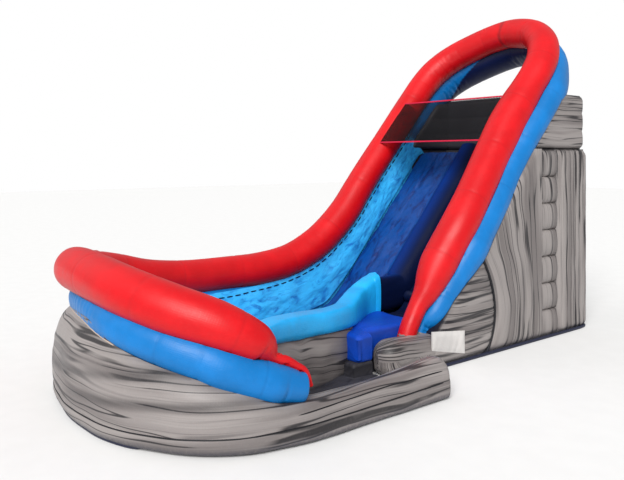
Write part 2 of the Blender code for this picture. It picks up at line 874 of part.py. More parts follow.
def slide_outline():
    """The slide lane's bed, turning from the slope to the level in a long arc."""
    turn = 1.1
    bend = math.degrees(SLOPE)
    corner_y = lane_y(RUNOUT_TOP)
    reach = turn * math.tan(SLOPE / 2)
    centre = (corner_y - reach, RUNOUT_TOP + turn)
    curve = arc_points(centre, turn, -90 + bend, -90, 6)
    under = lane_y(0.0) + BED_THICKNESS / SIN
    front = RUNOUT_FRONT + GAP
    return [(DECK_EDGE, DECK_TOP)] + curve + [
        (front, RUNOUT_TOP), (front, 0.0), (under, 0.0),
        (DECK_EDGE, DECK_TOP - BED_THICKNESS / COS)]


def add_lanes():
    inside = WALL_INNER - GAP
    slide = slab("slide_bed", slide_outline(), -inside, DIVIDER_MIN_X - GAP, "YZ", "lane_blue")
    cut(slide, POOL_WALL_CUTTER, BASE_CUTTER, SPLASH_CUTTER)
    under = lane_y(0.0) + BED_THICKNESS / SIN
    climb = slab("climb_bed", bed_outline(under, CLIMB_FOOT_TOP, CLIMB_FOOT_FRONT),
                 DIVIDER_MAX_X + GAP, inside, "YZ", "lane_blue")
    cut(climb, BASE_CUTTER)
    rise = DIVIDER_ABOVE_LANE / COS
    turn_y = DECK_EDGE + (DIVIDER_FOOT_TOP - DECK_TOP - rise) / TAN
    divider = [(DECK_EDGE, DECK_TOP), (DECK_EDGE, DECK_TOP + rise), (turn_y, DIVIDER_FOOT_TOP),
               (DIVIDER_FRONT + GAP, DIVIDER_FOOT_TOP), (DIVIDER_FRONT + GAP, 0.0), (under, 0.0),
               (DECK_EDGE, DECK_TOP - BED_THICKNESS / COS)]
    made = slab("lane_divider", divider, DIVIDER_MIN_X, DIVIDER_MAX_X, "YZ", "light_blue", 0.06)
    cut(made, BASE_CUTTER)


def add_climb_steps():
    """Inflated rolls across the climbing lane, each cut flat to lie on the bed."""
    plane = [(DECK_EDGE + 0.2, lane_height(DECK_EDGE + 0.2) + GAP), (-2.6, lane_height(-2.6) + GAP),
             (-2.6, lane_height(-2.6) - 0.5), (DECK_EDGE + 0.2, lane_height(DECK_EDGE + 0.2) - 0.5)]
    bed_cutter = as_cutter(slab("bed_cutter", plane, 0.2, 1.6, "YZ"))
    for number in range(CLIMB_STEPS):
        along = -(FIRST_STEP + STEP_PITCH * number)
        left = on_slope(DIVIDER_MAX_X + 0.004, along, 0.03)
        right = on_slope(WALL_INNER - 0.004, along, 0.03)
        points = [Vector((*spot, STEP_RADIUS)) for spot in (left, right)]
        step = tube("climb_step_%d" % (CLIMB_STEPS - number), points, "lane_blue")
        cut(step, bed_cutter)


def base_cutter():
    top = BASE_THICKNESS + GAP
    front = BASE_FRONT - GAP
    outline = [(front, -MARGIN), (REAR_WALL_FRONT, -MARGIN), (REAR_WALL_FRONT, top), (front, top)]
    side = WALL_INNER + MARGIN
    return as_cutter(slab("base_cutter", outline, -side, side, "YZ"))


BASE_CUTTER = base_cutter()
add_lanes()
add_climb_steps()


# Pool floor, entrance mat and entrance floor

def splash_line(front, rear, count=8):
    """Points along the middle of the splash wall from one Y to another. A floor drawn to
    this line is then trimmed to the wall's own face."""
    points = []
    for index in range(count + 1):
        y = front + (rear - front) * index / count
        nearest = min(SPLASH.rows, key=lambda row: abs(row.y - y))
        points.append((nearest.x, y))
    return points


def pool_floor_outline():
    """Down the middle of the pool wall and back up the middle of the splash wall."""
    far_edge = -LEG_X - 0.06
    start = POOL_WALL.nearest((far_edge, RUNOUT_FRONT - 0.3, 0.0))
    splash_end = SPLASH_PLAN[-1]
    end = POOL_WALL.nearest((*splash_end, 0.0))
    wall_line_points = [POOL_WALL.at(spot) for spot in POOL_WALL.stations(start, end, 0.5)[1:]]
    outline = [(far_edge, RUNOUT_FRONT)] + [(point.x, point.y) for point in wall_line_points]
    return outline + splash_line(splash_end[1], RUNOUT_FRONT)


def slide_apron_outline():
    """The wedge between the slide's run-out and the splash wall."""
    rear = DIVIDER_FRONT - MARGIN
    front = RUNOUT_FRONT + GAP
    return splash_line(front, rear) + [(DIVIDER_MIN_X, rear), (DIVIDER_MIN_X, front)]


def entrance_step_outline():
    rear = CLIMB_FOOT_FRONT - 2 * GAP
    inside = WALL_INNER - GAP
    return splash_line(STEP_FRONT, rear - MARGIN) + [
        (STEP_FAR_X, rear), (inside, rear), (inside, TOE_FRONT),
        (STEP_NEAR_X, TOE_FRONT - 0.12), (STEP_NEAR_X, STEP_FRONT)]


def entrance_floor_outline():
    rear = TOE_FRONT - GAP
    side = STEP_NEAR_X + GAP
    low_wall_side = LOW_WALL_X - 0.2
    splash_end_y = SPLASH_PLAN[-1][1]
    return [(side, rear), (low_wall_side, rear), (low_wall_side, splash_end_y)] + splash_line(
        splash_end_y, STEP_FRONT - GAP) + [(side, STEP_FRONT - GAP)]


def add_floors():
    floor = slab("pool_floor", pool_floor_outline(), 0.0, POOL_FLOOR_TOP, "XY", "lane_blue")
    cut(floor, POOL_WALL_CUTTER, SPLASH_CUTTER)
    apron = slab("slide_apron", slide_apron_outline(), 0.0, RUNOUT_TOP, "XY", "lane_blue")
    cut(apron, SPLASH_CUTTER)
    step = slab("entrance_step", entrance_step_outline(), 0.0, MAT_TOP, "XY", "royal_blue")
    cut(step, SPLASH_CUTTER, RED_CUTTER)
    ground = slab("entrance_floor", entrance_floor_outline(), 0.0, FLOOR_THICKNESS, "XY", "dark_floor")
    cut(ground, SPLASH_CUTTER, LOW_WALL_CUTTER, POOL_WALL_CUTTER)


add_floors()


# Safety net across the slope, with a hem along its upper and lower edges

def add_net():
    above_lane = AXIS_ABOVE_LANE + NET_ABOVE_AXIS
    low = on_slope(0.0, NET_BOTTOM + HEM_RADIUS + GAP, above_lane)
    high = on_slope(0.0, NET_TOP - HEM_RADIUS - GAP, above_lane)
    thick = SLOPE_NORMAL * NET_THICKNESS / 2
    outline = [(spot.y, spot.z) for spot in (low - thick, high - thick, high + thick, low + thick)]
    net = slab("safety_net", outline, -NET_HALF_LENGTH, NET_HALF_LENGTH, "YZ", "net_black")
    cut(net, RED_CUTTER)
    for name, along in (("net_hem_upper", NET_TOP), ("net_hem_lower", NET_BOTTOM)):
        ends = [on_slope(x, along, above_lane) for x in (-NET_HALF_LENGTH, NET_HALF_LENGTH)]
        points = [Vector((*spot, HEM_RADIUS)) for spot in ends]
        cut(tube(name, points, "hem_red"), RED_CUTTER)


add_net()
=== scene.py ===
"""Looks of the inflatable water slide: every air-filled chamber, its seams, the climbing
lane's rolls, the liner, the safety net and the stage that the whole stands on."""

import math

import bpy
import numpy as np
from mathutils.kdtree import KDTree
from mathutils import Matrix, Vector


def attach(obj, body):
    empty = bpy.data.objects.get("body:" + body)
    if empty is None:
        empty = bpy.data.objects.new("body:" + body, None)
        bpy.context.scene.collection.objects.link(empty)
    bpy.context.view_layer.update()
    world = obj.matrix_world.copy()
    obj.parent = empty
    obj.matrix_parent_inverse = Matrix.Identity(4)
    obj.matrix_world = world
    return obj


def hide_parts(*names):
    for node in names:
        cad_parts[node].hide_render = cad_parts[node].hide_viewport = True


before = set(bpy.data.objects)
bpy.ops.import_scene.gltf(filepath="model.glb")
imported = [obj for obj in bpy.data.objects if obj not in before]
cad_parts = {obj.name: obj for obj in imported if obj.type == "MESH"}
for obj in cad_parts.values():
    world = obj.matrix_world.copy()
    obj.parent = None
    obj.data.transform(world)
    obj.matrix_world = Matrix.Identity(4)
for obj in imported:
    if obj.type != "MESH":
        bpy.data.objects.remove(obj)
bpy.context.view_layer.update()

# The model's own measures, in metres
SLOPE = math.radians(48.2)
DECK_TOP = 3.40
DECK_EDGE = 0.60
DECK_THICKNESS = 0.30
AXIS_ABOVE_LANE = 0.75
BLUE_RADIUS = 0.28
BLUE_POOL_RADIUS = 0.25
STACK = 0.36
ARCH_STACK = 0.43
POOL_STACK = 0.40
BLUE_OUTSET = 0.06
LEG_OUTSET = 0.10
CORNER_INSET = 0.22
POOL_WALL_CORNER_INSET = 0.03
POOL_WALL_OUTSET = 0.09
WALL_OUTER = 1.82
WALL_INNER = 1.30
FAR_WALL_INNER = 1.36
TOWER_REAR = 2.00
REAR_WALL_FRONT = 1.50
BODY_TOP = 3.45
WALL_TOP_BELOW_RED_AXIS = 0.45
TOE_FRONT = -3.50
TOE_TOP = 0.50
COLUMN_FRONT = 0.40
COLUMN_MIDDLE = 0.93
FAR_WALL_END = -2.60
CREASE_TOP_Y = -1.32
CREASE_FOOT_Y = -1.15
CREASE_BULGE = (-0.62, 0.75)
GUARD_OUTER = 1.77
GUARD_INNER = 1.27
GUARD_REAR = 1.95
GUARD_REAR_FRONT = 1.47
GUARD_TOP = 4.50
DIVIDER_MIN_X = 0.14
DIVIDER_MAX_X = 0.44
DIVIDER_SWELL_X = -0.12
DIVIDER_RISE = 0.27
DIVIDER_FOOT_TOP = 1.20
DIVIDER_FRONT = -2.30
RUNOUT_TOP = 0.40
RUNOUT_FRONT = -3.90
CLIMB_FOOT_TOP = 0.62
CLIMB_FOOT_FRONT = -2.30
CLIMB_STEPS = 7
STEP_RADIUS = 0.09
STEP_PITCH = 0.50
FIRST_STEP = 0.45
POOL_FLOOR_TOP = 0.24
POOL_WALL_WIDTH = 0.63
LOW_WALL_X = 2.575
LOW_WALL_WIDTH = 0.54
SPLASH_WIDTH = 0.34
MAT_TOP = 0.66
STEP_NEAR_X = 1.48
STEP_FRONT = -3.95
FLOOR_THICKNESS = 0.08
BASE_THICKNESS = 0.25
BASE_FRONT = -1.60
SPLASH_PLAN = [(0.29, -2.302), (0.29, -2.40), (0.29, -2.50), (0.37, -2.80), (0.64, -3.20),
               (1.00, -3.70), (1.24, -4.30), (1.40, -4.92), (1.62, -5.45), (1.93, -5.98)]
NET_TOP = 0.50
NET_BOTTOM = -0.62
NET_ABOVE_AXIS = 0.25
HEM_RADIUS = 0.018
# Gap between neighbours that meet
CLEAR = 0.002
# Step between the rings of a wall or a lane
RING_STEP = 0.035

COS = math.cos(SLOPE)
SIN = math.sin(SLOPE)
TAN = math.tan(SLOPE)
SLOPE_NORMAL = np.array((0.0, -SIN, COS))
UP = np.array((0.0, 0.0, 1.0))
FLAT = (1.0, 1.0, 0.0)


def show(name, data):
    """Puts a mesh, a lamp or a camera into the scene."""
    made = bpy.data.objects.new(name, data)
    bpy.context.scene.collection.objects.link(made)
    return made


# Camera and lights

CAMERA_PLACE = (9.07, -10.8, 3.3)
CAMERA_TURN = 51.1
FOCAL_PIXELS = 700.0
FRAME_WIDTH = 624.0
FRAME_HEIGHT = 480.0
HORIZON_ROW = 157.0
SENSOR = 36.0
VIEW_END = 200.0
KEY_PLACE = (10.0, -12.0, 12.0)
KEY_POWER = 3.7
KEY_SPREAD = 34.0
KEY_COLOUR = (1.0, 0.985, 0.96)
FILL_PLACE = (-9.0, -6.0, 9.0)
FILL_POWER = 0.35
FILL_SPREAD = 60.0
WHITE = (1.0, 1.0, 1.0, 1.0)
ROOM_COLOUR = (0.97, 0.985, 1.0, 1.0)
ROOM_POWER = 0.50


def add_camera():
    data = bpy.data.cameras.new("view")
    data.sensor_width = SENSOR
    data.lens = FOCAL_PIXELS / FRAME_WIDTH * SENSOR
    data.shift_y = -(FRAME_HEIGHT / 2 - HORIZON_ROW) / FRAME_WIDTH
    data.clip_end = VIEW_END
    camera = show("view", data)
    camera.location = CAMERA_PLACE
    camera.rotation_euler = (math.pi / 2, 0.0, math.radians(CAMERA_TURN))
    bpy.context.scene.camera = camera


def add_sun(name, place, power, spread, colour):
    data = bpy.data.lights.new(name, "SUN")
    data.energy = power
    data.angle = math.radians(spread)
    data.color = colour
    lamp = show(name, data)
    lamp.location = place
    lamp.rotation_euler = Vector(place).to_track_quat("Z", "Y").to_euler()


def add_room():
    """A pale room that lights the object and a white backdrop that only the camera sees."""
    world = bpy.data.worlds.new("studio")
    world.use_nodes = True
    nodes = world.node_tree.nodes
    links = world.node_tree.links
    room = nodes["Background"]
    backdrop = nodes.new("ShaderNodeBackground")
    for light, colour, power in ((room, ROOM_COLOUR, ROOM_POWER), (backdrop, WHITE, 1.0)):
        light.inputs["Color"].default_value = colour
        light.inputs["Strength"].default_value = power
    path = nodes.new("ShaderNodeLightPath")
    mix = nodes.new("ShaderNodeMixShader")
    links.new(path.outputs["Is Camera Ray"], mix.inputs["Fac"])
    links.new(room.outputs["Background"], mix.inputs[1])
    links.new(backdrop.outputs["Background"], mix.inputs[2])
    links.new(mix.outputs["Shader"], nodes["World Output"].inputs["Surface"])
    bpy.context.scene.world = world
    bpy.context.scene.view_settings.view_transform = "Standard"


add_camera()
add_sun("key", KEY_PLACE, KEY_POWER, KEY_SPREAD, KEY_COLOUR)
add_sun("fill", FILL_PLACE, FILL_POWER, FILL_SPREAD, WHITE[:3])
add_room()


# Materials

class Finish:
    """A material under construction: short calls that add nodes and join them."""

    def __init__(self, name):
        self.material = bpy.data.materials.new(name)
        self.material.use_nodes = True
        self.tree = self.material.node_tree
        self.inputs = self.tree.nodes["Principled BSDF"].inputs

    def node(self, kind, inputs=None, **settings):
        made = self.tree.nodes.new(kind)
        for key, value in settings.items():
            setattr(made, key, value)
        for key, value in (inputs or {}).items():
            self.put(made.inputs[key], value)
        return made

    def put(self, socket, value):
        if isinstance(value, bpy.types.NodeSocket):
            self.tree.links.new(value, socket)
        else:
            socket.default_value = value

    def looks(self, colour, roughness, normal, gloss):
        """Joins the finished parts to the shader."""
        for name, value in (("Base Color", colour), ("Roughness", roughness), ("Normal", normal),
                            ("Specular IOR Level", gloss)):
            if value is not None:
                self.put(self.inputs[name], value)
        return self.material

    def maths(self, operation, first, second=0.0):
        return self.node("ShaderNodeMath", {0: first, 1: second}, operation=operation).outputs[0]

    def times(self, first, second):
        return self.maths("MULTIPLY", first, second)

    def span(self, value, from_low, from_high, to_low=0.0, to_high=1.0):
        made = self.node("ShaderNodeMapRange", {
            "Value": value, "From Min": from_low, "From Max": from_high, "To Min": to_low,
            "To Max": to_high}, interpolation_type="SMOOTHSTEP")
        return made.outputs["Result"]

    def mix(self, share, first, second):
        made = self.node("ShaderNodeMix", data_type="RGBA")
        self.put(made.inputs["Factor"], share)
        self.put(made.inputs[6], first)
        self.put(made.inputs[7], second)
        return made.outputs[2]

    def coordinates(self, kind="UV", scale=(1.0, 1.0, 1.0)):
        source = self.node("ShaderNodeTexCoord").outputs[kind]
        return self.node("ShaderNodeMapping", {"Vector": source, "Scale": scale}).outputs["Vector"]

    def noise(self, vector, scale, detail=2.0, roughness=0.5, distortion=0.0):
        made = self.node("ShaderNodeTexNoise", {"Vector": vector, "Scale": scale, "Detail": detail,
                                                "Roughness": roughness, "Distortion": distortion})
        return made.outputs["Fac"]

    def wave(self, vector, way, scale, distortion=0.0):
        return self.node("ShaderNodeTexWave", {"Vector": vector, "Scale": scale,
                                               "Distortion": distortion},
                         bands_direction=way).outputs["Fac"]

    def bump(self, height, distance, strength, normal=None):
        inputs = {"Height": height, "Distance": distance, "Strength": strength}
        if normal:
            inputs["Normal"] = normal
        return self.node("ShaderNodeBump", inputs).outputs["Normal"]


LIT = 0.70
# Near-black tone of the painted shade in seams, folds and creases, also of dark lines
SEAM_AND_SHADE_TONE = (0.006, 0.006, 0.010, 1.0)
DUST = (0.50, 0.48, 0.46, 1.0)
NEAR_GROUND_TONE = (0.030, 0.034, 0.055, 1.0)
NEAR_GROUND_DARKENING = 0.55
MARBLE_NEAR_GROUND_DARKENING = 0.9
WEAR = 0.01
MARBLE_WEAR = 0.05
VINYL_GLOSS = 0.32
CLOTH_GLOSS = 0.12
WEAVE_SCALE = 12.0


def rgb(red, green, blue):
    """The finish that looks like a display colour from 0 to 255 under this scene's light."""
    def linear(value):
        share = value / 255
        return LIT * (share / 12.92 if share <= 0.04045 else ((share + 0.055) / 1.055) ** 2.4)
    return (linear(red), linear(green), linear(blue), 1.0)


def shade(colour, amount):
    return (*(channel * amount for channel in colour[:3]), 1.0)


def vinyl_skin(finish, colour, roughness, crinkle, low_darkening=NEAR_GROUND_DARKENING, wear=WEAR, fold=SEAM_AND_SHADE_TONE,
               gloss=VINYL_GLOSS):
    """Coated fabric: a fine scrim weave, soft wrinkles, worn and dusty patches, darker towards the
    ground. Where the mesh's crease values say so it takes the fold tone: painted shade in seams,
    folds and shaded sides, and dark lines."""
    uv = finish.coordinates()
    place = finish.coordinates("Object")
    weave = finish.times(*(finish.wave(uv, way, WEAVE_SCALE, 0.3) for way in "XY"))
    wrinkle = finish.noise(finish.coordinates("UV", (1.0, 1.6, 1.0)), 7.0, 5.0, 0.55, 0.6)
    normal = finish.bump(wrinkle, 0.012, crinkle, finish.bump(weave, 0.0012, 0.5))
    patches = finish.noise(place, 1.7, 4.0, 0.6)
    fine = finish.noise(place, 24.0, 4.0, 0.65)
    worn = finish.span(patches, 0.35, 0.7)
    if isinstance(colour, tuple):
        tone = finish.mix(worn, shade(colour, 0.88), shade(colour, 1.06))
    else:
        tone = finish.mix(worn, colour, finish.mix(0.02, colour, DUST))
    tone = finish.mix(finish.span(fine, 0.50, 0.80, 0.0, wear), tone, DUST)
    height = finish.node("ShaderNodeSeparateXYZ", {0: place}).outputs["Z"]
    # Darker towards the ground, in a dark navy grey, over the lowest 0.14 m
    low_share = finish.times(finish.span(height, 0.14, 0.0), finish.span(fine, 0.15, 0.6))
    tone = finish.mix(finish.times(low_share, low_darkening), tone, NEAR_GROUND_TONE)
    # The crease attribute paints shade into seams, folds and shaded sides
    crease = finish.node("ShaderNodeAttribute", attribute_name="crease").outputs["Fac"]
    uneven = finish.maths("ADD", patches, finish.times(fine, 0.5))
    return finish.looks(finish.mix(crease, tone, fold),
                        finish.span(uneven, 0.5, 1.1, roughness - 0.05, roughness + 0.10),
                        normal, gloss)


def vinyl(name, colour, roughness=0.42, crinkle=0.20, **options):
    return vinyl_skin(Finish(name), colour, roughness, crinkle, **options)


def mottled_vinyl(name, colour, dark, roughness, crinkle=0.6, spread=0.0):
    """Vinyl that lies slack, with darker patches and streaks along its length."""
    finish = Finish(name)
    blotch = finish.noise(finish.coordinates("UV", (0.45, 1.0, 1.0)), 5.5, 6.0, 0.62, 1.2)
    streak = finish.noise(finish.coordinates("UV", (0.25, 1.8, 1.0)), 9.0, 4.0, 0.6, 0.8)
    tone = finish.mix(finish.span(blotch, 0.46 - spread, 0.72 - spread), colour, dark)
    tone = finish.mix(finish.span(streak, 0.54, 0.74, 0.0, 0.45), tone, dark)
    return vinyl_skin(finish, tone, roughness, crinkle)


def marble(name, veins=1.0):
    """Grey vinyl printed with long streaks that run along the panel."""
    finish = Finish(name)
    source = finish.node("ShaderNodeTexCoord").outputs["UV"]
    drift = finish.noise(finish.coordinates("UV", (0.35, 0.6, 1.0)), 1.3, 2.0, 0.5)
    sway = finish.node("ShaderNodeCombineXYZ", {"Y": finish.times(drift, 0.16)})
    moved = finish.node("ShaderNodeVectorMath", {0: source, 1: sway.outputs[0]},
                        operation="ADD").outputs[0]

    def streaks(along, across, shift, detail=1.0, roughness=0.5):
        vector = finish.node("ShaderNodeMapping", {
            "Vector": moved, "Scale": (along, across, 1.0), "Location": (shift, shift * 1.7, shift)})
        return finish.noise(vector.outputs["Vector"], 1.0, detail, roughness)

    broad = streaks(0.28, 4.4, 3.0, 2.0)
    fine = streaks(0.55, 30.0, 11.0, 3.0, 0.6)
    lines = streaks(0.30, 6.5 * veins, 23.0)
    breaks = streaks(0.8, 2.4, 37.0)
    thick = streaks(0.26, 8.0 * veins, 51.0)
    away = finish.maths("ABSOLUTE", finish.maths("SUBTRACT", lines, 0.5))
    band = finish.times(finish.span(thick, 0.61, 0.68), finish.span(breaks, 0.58, 0.46))
    thin = finish.times(finish.span(away, 0.036, 0.008), finish.span(breaks, 0.36, 0.46))
    tone = finish.mix(finish.span(broad, 0.38, 0.62), rgb(128, 121, 120), rgb(166, 159, 157))
    for share, colour in ((finish.span(fine, 0.54, 0.72, 0.0, 0.5), rgb(92, 86, 88)),
                          (finish.span(fine, 0.44, 0.28, 0.0, 0.4), rgb(182, 176, 173)),
                          (finish.times(band, 0.46), rgb(52, 48, 53)),
                          (finish.times(thin, 0.9), rgb(26, 24, 30))):
        tone = finish.mix(share, tone, colour)
    return vinyl_skin(finish, tone, 0.46, 0.18, MARBLE_NEAR_GROUND_DARKENING, MARBLE_WEAR)


def cloth(name, colour, pitch):
    """Woven webbing."""
    finish = Finish(name)
    warp = finish.wave(finish.coordinates(), "DIAGONAL", pitch)
    grain = finish.noise(finish.coordinates("Object"), 60.0, 3.0, 0.6)
    tone = finish.mix(finish.span(grain, 0.3, 0.7), shade(colour, 0.75), shade(colour, 1.15))
    return finish.looks(tone, finish.span(grain, 0.2, 0.8, 0.65, 0.85),
                        finish.bump(warp, 0.001, 0.6), CLOTH_GLOSS)


RED_VINYL = vinyl("red_vinyl", rgb(236, 8, 22))
# Its fold tone is navy: painted shade under the arch and in the seams
BLUE_VINYL = vinyl("light_blue_vinyl", rgb(4, 132, 216), 0.42, 0.32, fold=rgb(8, 26, 78))
# A much brighter copy of the light blue: painted light on the splash wall's blue face
SPLASH_LIT_VINYL = vinyl("splash_lit_vinyl", (0.012, 0.42, 0.90, 1.0), 0.40, 0.45)
# A much brighter copy of the light blue: painted light on the liner and the pool's insides
LINER_LIT_VINYL = mottled_vinyl("liner_lit_vinyl", (0.040, 0.47, 0.92, 1.0), rgb(24, 126, 216), 0.42, 0.7)
LANE_VINYL = mottled_vinyl("lane_vinyl", rgb(4, 78, 164), rgb(6, 36, 108), 0.46, 0.8, 0.02)
# The divider's fold tone is its painted shade on the climbing side
DIVIDER_VINYL = vinyl("divider_vinyl", rgb(2, 52, 136), 0.60, 0.5, fold=rgb(4, 12, 42), gloss=0.10)
# A near-black copy of the lane blue: painted shade on the climbing lane and the near walls' insides
CLIMB_SHADED_VINYL = vinyl("climb_shaded_vinyl", rgb(6, 22, 62), 0.46, 0.6)
ROYAL_VINYL = vinyl("royal_blue_vinyl", rgb(5, 80, 212), 0.48, 0.6)
MARBLE = marble("grey_marble_vinyl")
DENSE_MARBLE = marble("grey_marble_dense_vinyl", 1.4)
# Dark grey for the walls' insides round and above the deck: painted shade
SHADED_INSIDE_VINYL = vinyl("guard_inside_shaded_vinyl", rgb(70, 68, 74), 0.5, 0.4)
# Dark grey floor vinyl, its darkness partly the painted shade of the shadowed entrance
MAT_VINYL = mottled_vinyl("dark_floor_vinyl", rgb(62, 60, 66), rgb(30, 28, 36), 0.6)
BEIGE_TAPE = vinyl("beige_seam_tape", rgb(205, 186, 172), 0.5)
NAVY_WELT = vinyl("navy_welt", rgb(22, 26, 60), 0.5)
DARK_TAPE = vinyl("dark_seam_tape", rgb(26, 26, 32), 0.5)
NET_BLACK = cloth("black_net", rgb(9, 9, 12), 90.0)
HEM_RED = cloth("red_hem", rgb(226, 40, 76), 60.0)
DARK_THREAD = cloth("dark_thread", rgb(18, 28, 62), 90.0)
WHITE_PATCH = vinyl("white_patch", rgb(236, 232, 230), 0.5, 0.15)


# Smooth fields, sections and paths

def ripple(along, across, seed, low, high, count=9):
    """A smooth random field of waves between two lengths, about -1 to 1."""
    rng = np.random.default_rng(seed)
    total = 0.0
    for _ in range(count):
        angle = rng.uniform(0.0, math.tau)
        pulse = math.tau / rng.uniform(low, high)
        phase = rng.uniform(0.0, math.tau)
        total = total + np.sin(pulse * (along * math.cos(angle) + across * math.sin(angle)) + phase)
    return total / math.sqrt(count)


def ease(share):
    share = np.clip(share, 0.0, 1.0)
    return share * share * (3.0 - 2.0 * share)


def blend(low, high, share):
    return low + (high - low) * np.clip(share, 0.0, 1.0)


def bell(gap):
    return np.exp(-gap ** 2)


def lobes(value, pitch, depth):
    """Rounded swells with a crease between each two, from -depth to 0."""
    share = (value / pitch) % 1.0
    return depth * np.sqrt(np.maximum(0.0, 1.0 - (2.0 * share - 1.0) ** 2)) - depth


def rounding(distances, reach, depth):
    """How far a surface falls back near its edges, like the corner of a cushion."""
    total = sum(np.clip(1.0 - distance / reach, 0.0, 1.0) ** 2 for distance in distances)
    return depth * (1.0 - np.sqrt(np.maximum(0.0, 1.0 - np.minimum(1.0, total))))


def unit(vectors):
    return vectors / np.linalg.norm(vectors, axis=-1, keepdims=True)


def turns(count):
    return np.linspace(0.0, math.tau, count, endpoint=False)


def boxy(angle, power):
    """Shares across and up of a section between a circle, at power 2, and a square."""
    return [np.sign(value) * np.abs(value) ** (2.0 / power) for value in (np.cos(angle), np.sin(angle))]


def run_lengths(path):
    """Distance along a path up to each of its points."""
    steps = np.linalg.norm(np.diff(path, axis=0), axis=1)
    return np.concatenate(((0.0,), np.cumsum(steps)))


def smooth_path(path, passes=6):
    path = path.copy()
    for _ in range(passes):
        path[1:-1] = 0.25 * path[:-2] + 0.5 * path[1:-1] + 0.25 * path[2:]
    return path


def along_table(table, spots):
    rows = np.array(table)
    return np.interp(spots, rows[:, 0], rows[:, 1])


def shifted(points, direction, amount):
    """Rings of points, each ring moved along its own direction."""
    return points + direction[:, None, :] * amount[:, :, None]


# The slope and the routes

def lane_height(y):
    return DECK_TOP + TAN * (y - DECK_EDGE)


def on_slope(x, along, above_lane):
    return np.stack((x + 0.0 * along, DECK_EDGE + COS * along - SIN * above_lane,
                     DECK_TOP + SIN * along + COS * above_lane), axis=-1)


def red_axis_height(y):
    return lane_height(y) + AXIS_ABOVE_LANE / COS


def wall_line(y):
    return red_axis_height(y) - WALL_TOP_BELOW_RED_AXIS / COS


def wall_line_y(z):
    return DECK_EDGE + (z - wall_line(DECK_EDGE)) / TAN


class Route:
    """A smooth curve through rows of x, y, z and a fourth value, measured by its length."""

    FINE = 24
    PROBE = 0.02

    def __init__(self, points):
        given = np.array(points, float)
        rows = np.vstack((2 * given[0] - given[1], given, 2 * given[-1] - given[-2]))
        t = (np.arange(self.FINE) / self.FINE)[:, None]
        fine = []
        for index in range(1, len(rows) - 2):
            a, b, c, d = rows[index - 1:index + 3]
            fine.append(0.5 * ((2 * b) + (c - a) * t + (2 * a - 5 * b + 4 * c - d) * t * t
                               + (3 * b - a - 3 * c + d) * t * t * t))
        fine.append(rows[-2][None, :])
        self.rows = np.vstack(fine)
        self.lengths = run_lengths(self.rows[:, :3])
        self.length = self.lengths[-1]

    def at(self, distance):
        """Rows of x, y, z and the fourth value."""
        distance = np.clip(distance, 0.0, self.length)
        return np.stack([np.interp(distance, self.lengths, self.rows[:, axis])
                         for axis in range(4)], axis=-1)

    def direction(self, distance):
        ahead = self.at(np.asarray(distance) + self.PROBE)[..., :3]
        return unit(ahead - self.at(np.asarray(distance) - self.PROBE)[..., :3])

    def nearest(self, point):
        gaps = np.linalg.norm(self.rows[:, :3] - np.asarray(point, float)[:3], axis=1)
        return self.lengths[int(np.argmin(gaps))]


def stations(start, end, step):
    """Even distances along a route, at most a step apart."""
    return np.linspace(start, end, max(1, math.ceil((end - start) / step)) + 1)


def leg_point(x, y, radius):
    return (x, y, red_axis_height(y), radius)


def arch_point(x, along, radius=0.0):
    return leg_point(x, DECK_EDGE + COS * along, radius)


NEAR_FOOT = [(1.410, -2.72, 0.44, 0.146), (1.418, -2.62, 0.66, 0.146), (1.421, -2.46, 0.90, 0.150),
             (1.447, -2.29, 1.12, 0.205), (1.448, -2.13, 1.35, 0.270), (1.450, -1.98, 1.56, 0.306),
             (1.468, -1.78, 1.82, 0.312)]
NEAR_LEG = ((1.494, -1.52, 0.315), (1.464, -1.15, 0.311), (1.420, -0.83, 0.315),
            (1.370, -0.54, 0.318), (1.338, -0.22, 0.330), (1.322, 0.05, 0.334), (1.330, 0.36, 0.326))
ARCH = ((1.343, 0.10, 0.306), (1.346, 0.54, 0.300), (1.285, 0.975, 0.300), (1.100, 1.39, 0.300),
        (0.800, 1.68, 0.303), (0.420, 1.825, 0.306), (0.050, 1.857, 0.298), (-0.350, 1.752, 0.292),
        (-0.700, 1.570, 0.295), (-1.020, 1.360, 0.297), (-1.270, 1.110, 0.299),
        (-1.430, 0.820, 0.300), (-1.505, 0.450, 0.298), (-1.515, 0.080, 0.295))
FAR_LEG = ((-1.515, 0.20, 0.294), (-1.515, -0.40, 0.292), (-1.500, -1.00, 0.292))
FAR_BEND = [(-1.490, -1.42, 2.24, 0.300), (-1.500, -1.80, 1.88, 0.305),
            (-1.515, -2.22, 1.59, 0.310)]
POOL = [(-1.535, -2.80, 1.35, 0.305), (-1.560, -3.45, 1.24, 0.305), (-1.575, -4.20, 1.23, 0.300),
        (-1.580, -5.00, 1.24, 0.300), (-1.570, -5.70, 1.32, 0.300), (-1.470, -6.30, 1.48, 0.300),
        (-1.220, -6.81, 1.61, 0.300), (-0.790, -7.15, 1.72, 0.300), (-0.180, -7.29, 1.77, 0.300),
        (0.550, -7.32, 1.75, 0.300), (1.220, -7.22, 1.66, 0.300), (1.780, -6.96, 1.52, 0.300),
        (2.160, -6.61, 1.37, 0.285), (2.350, -6.28, 1.19, 0.245), (2.397, -6.16, 1.112, 0.196),
        (2.421, -6.09, 1.041, 0.136), (2.440, -6.03, 0.977, 0.086), (2.465, -5.95, 0.935, 0.066),
        (2.486, -5.86, 0.898, 0.060), (2.514, -5.75, 0.830, 0.050), (2.541, -5.64, 0.745, 0.045),
        (2.556, -5.56, 0.580, 0.028)]
RED = Route(NEAR_FOOT + [leg_point(*row) for row in NEAR_LEG] + [arch_point(*row) for row in ARCH]
            + [leg_point(*row) for row in FAR_LEG] + FAR_BEND + POOL)
RED_ARCH_FROM = RED.nearest(arch_point(*ARCH[0]))
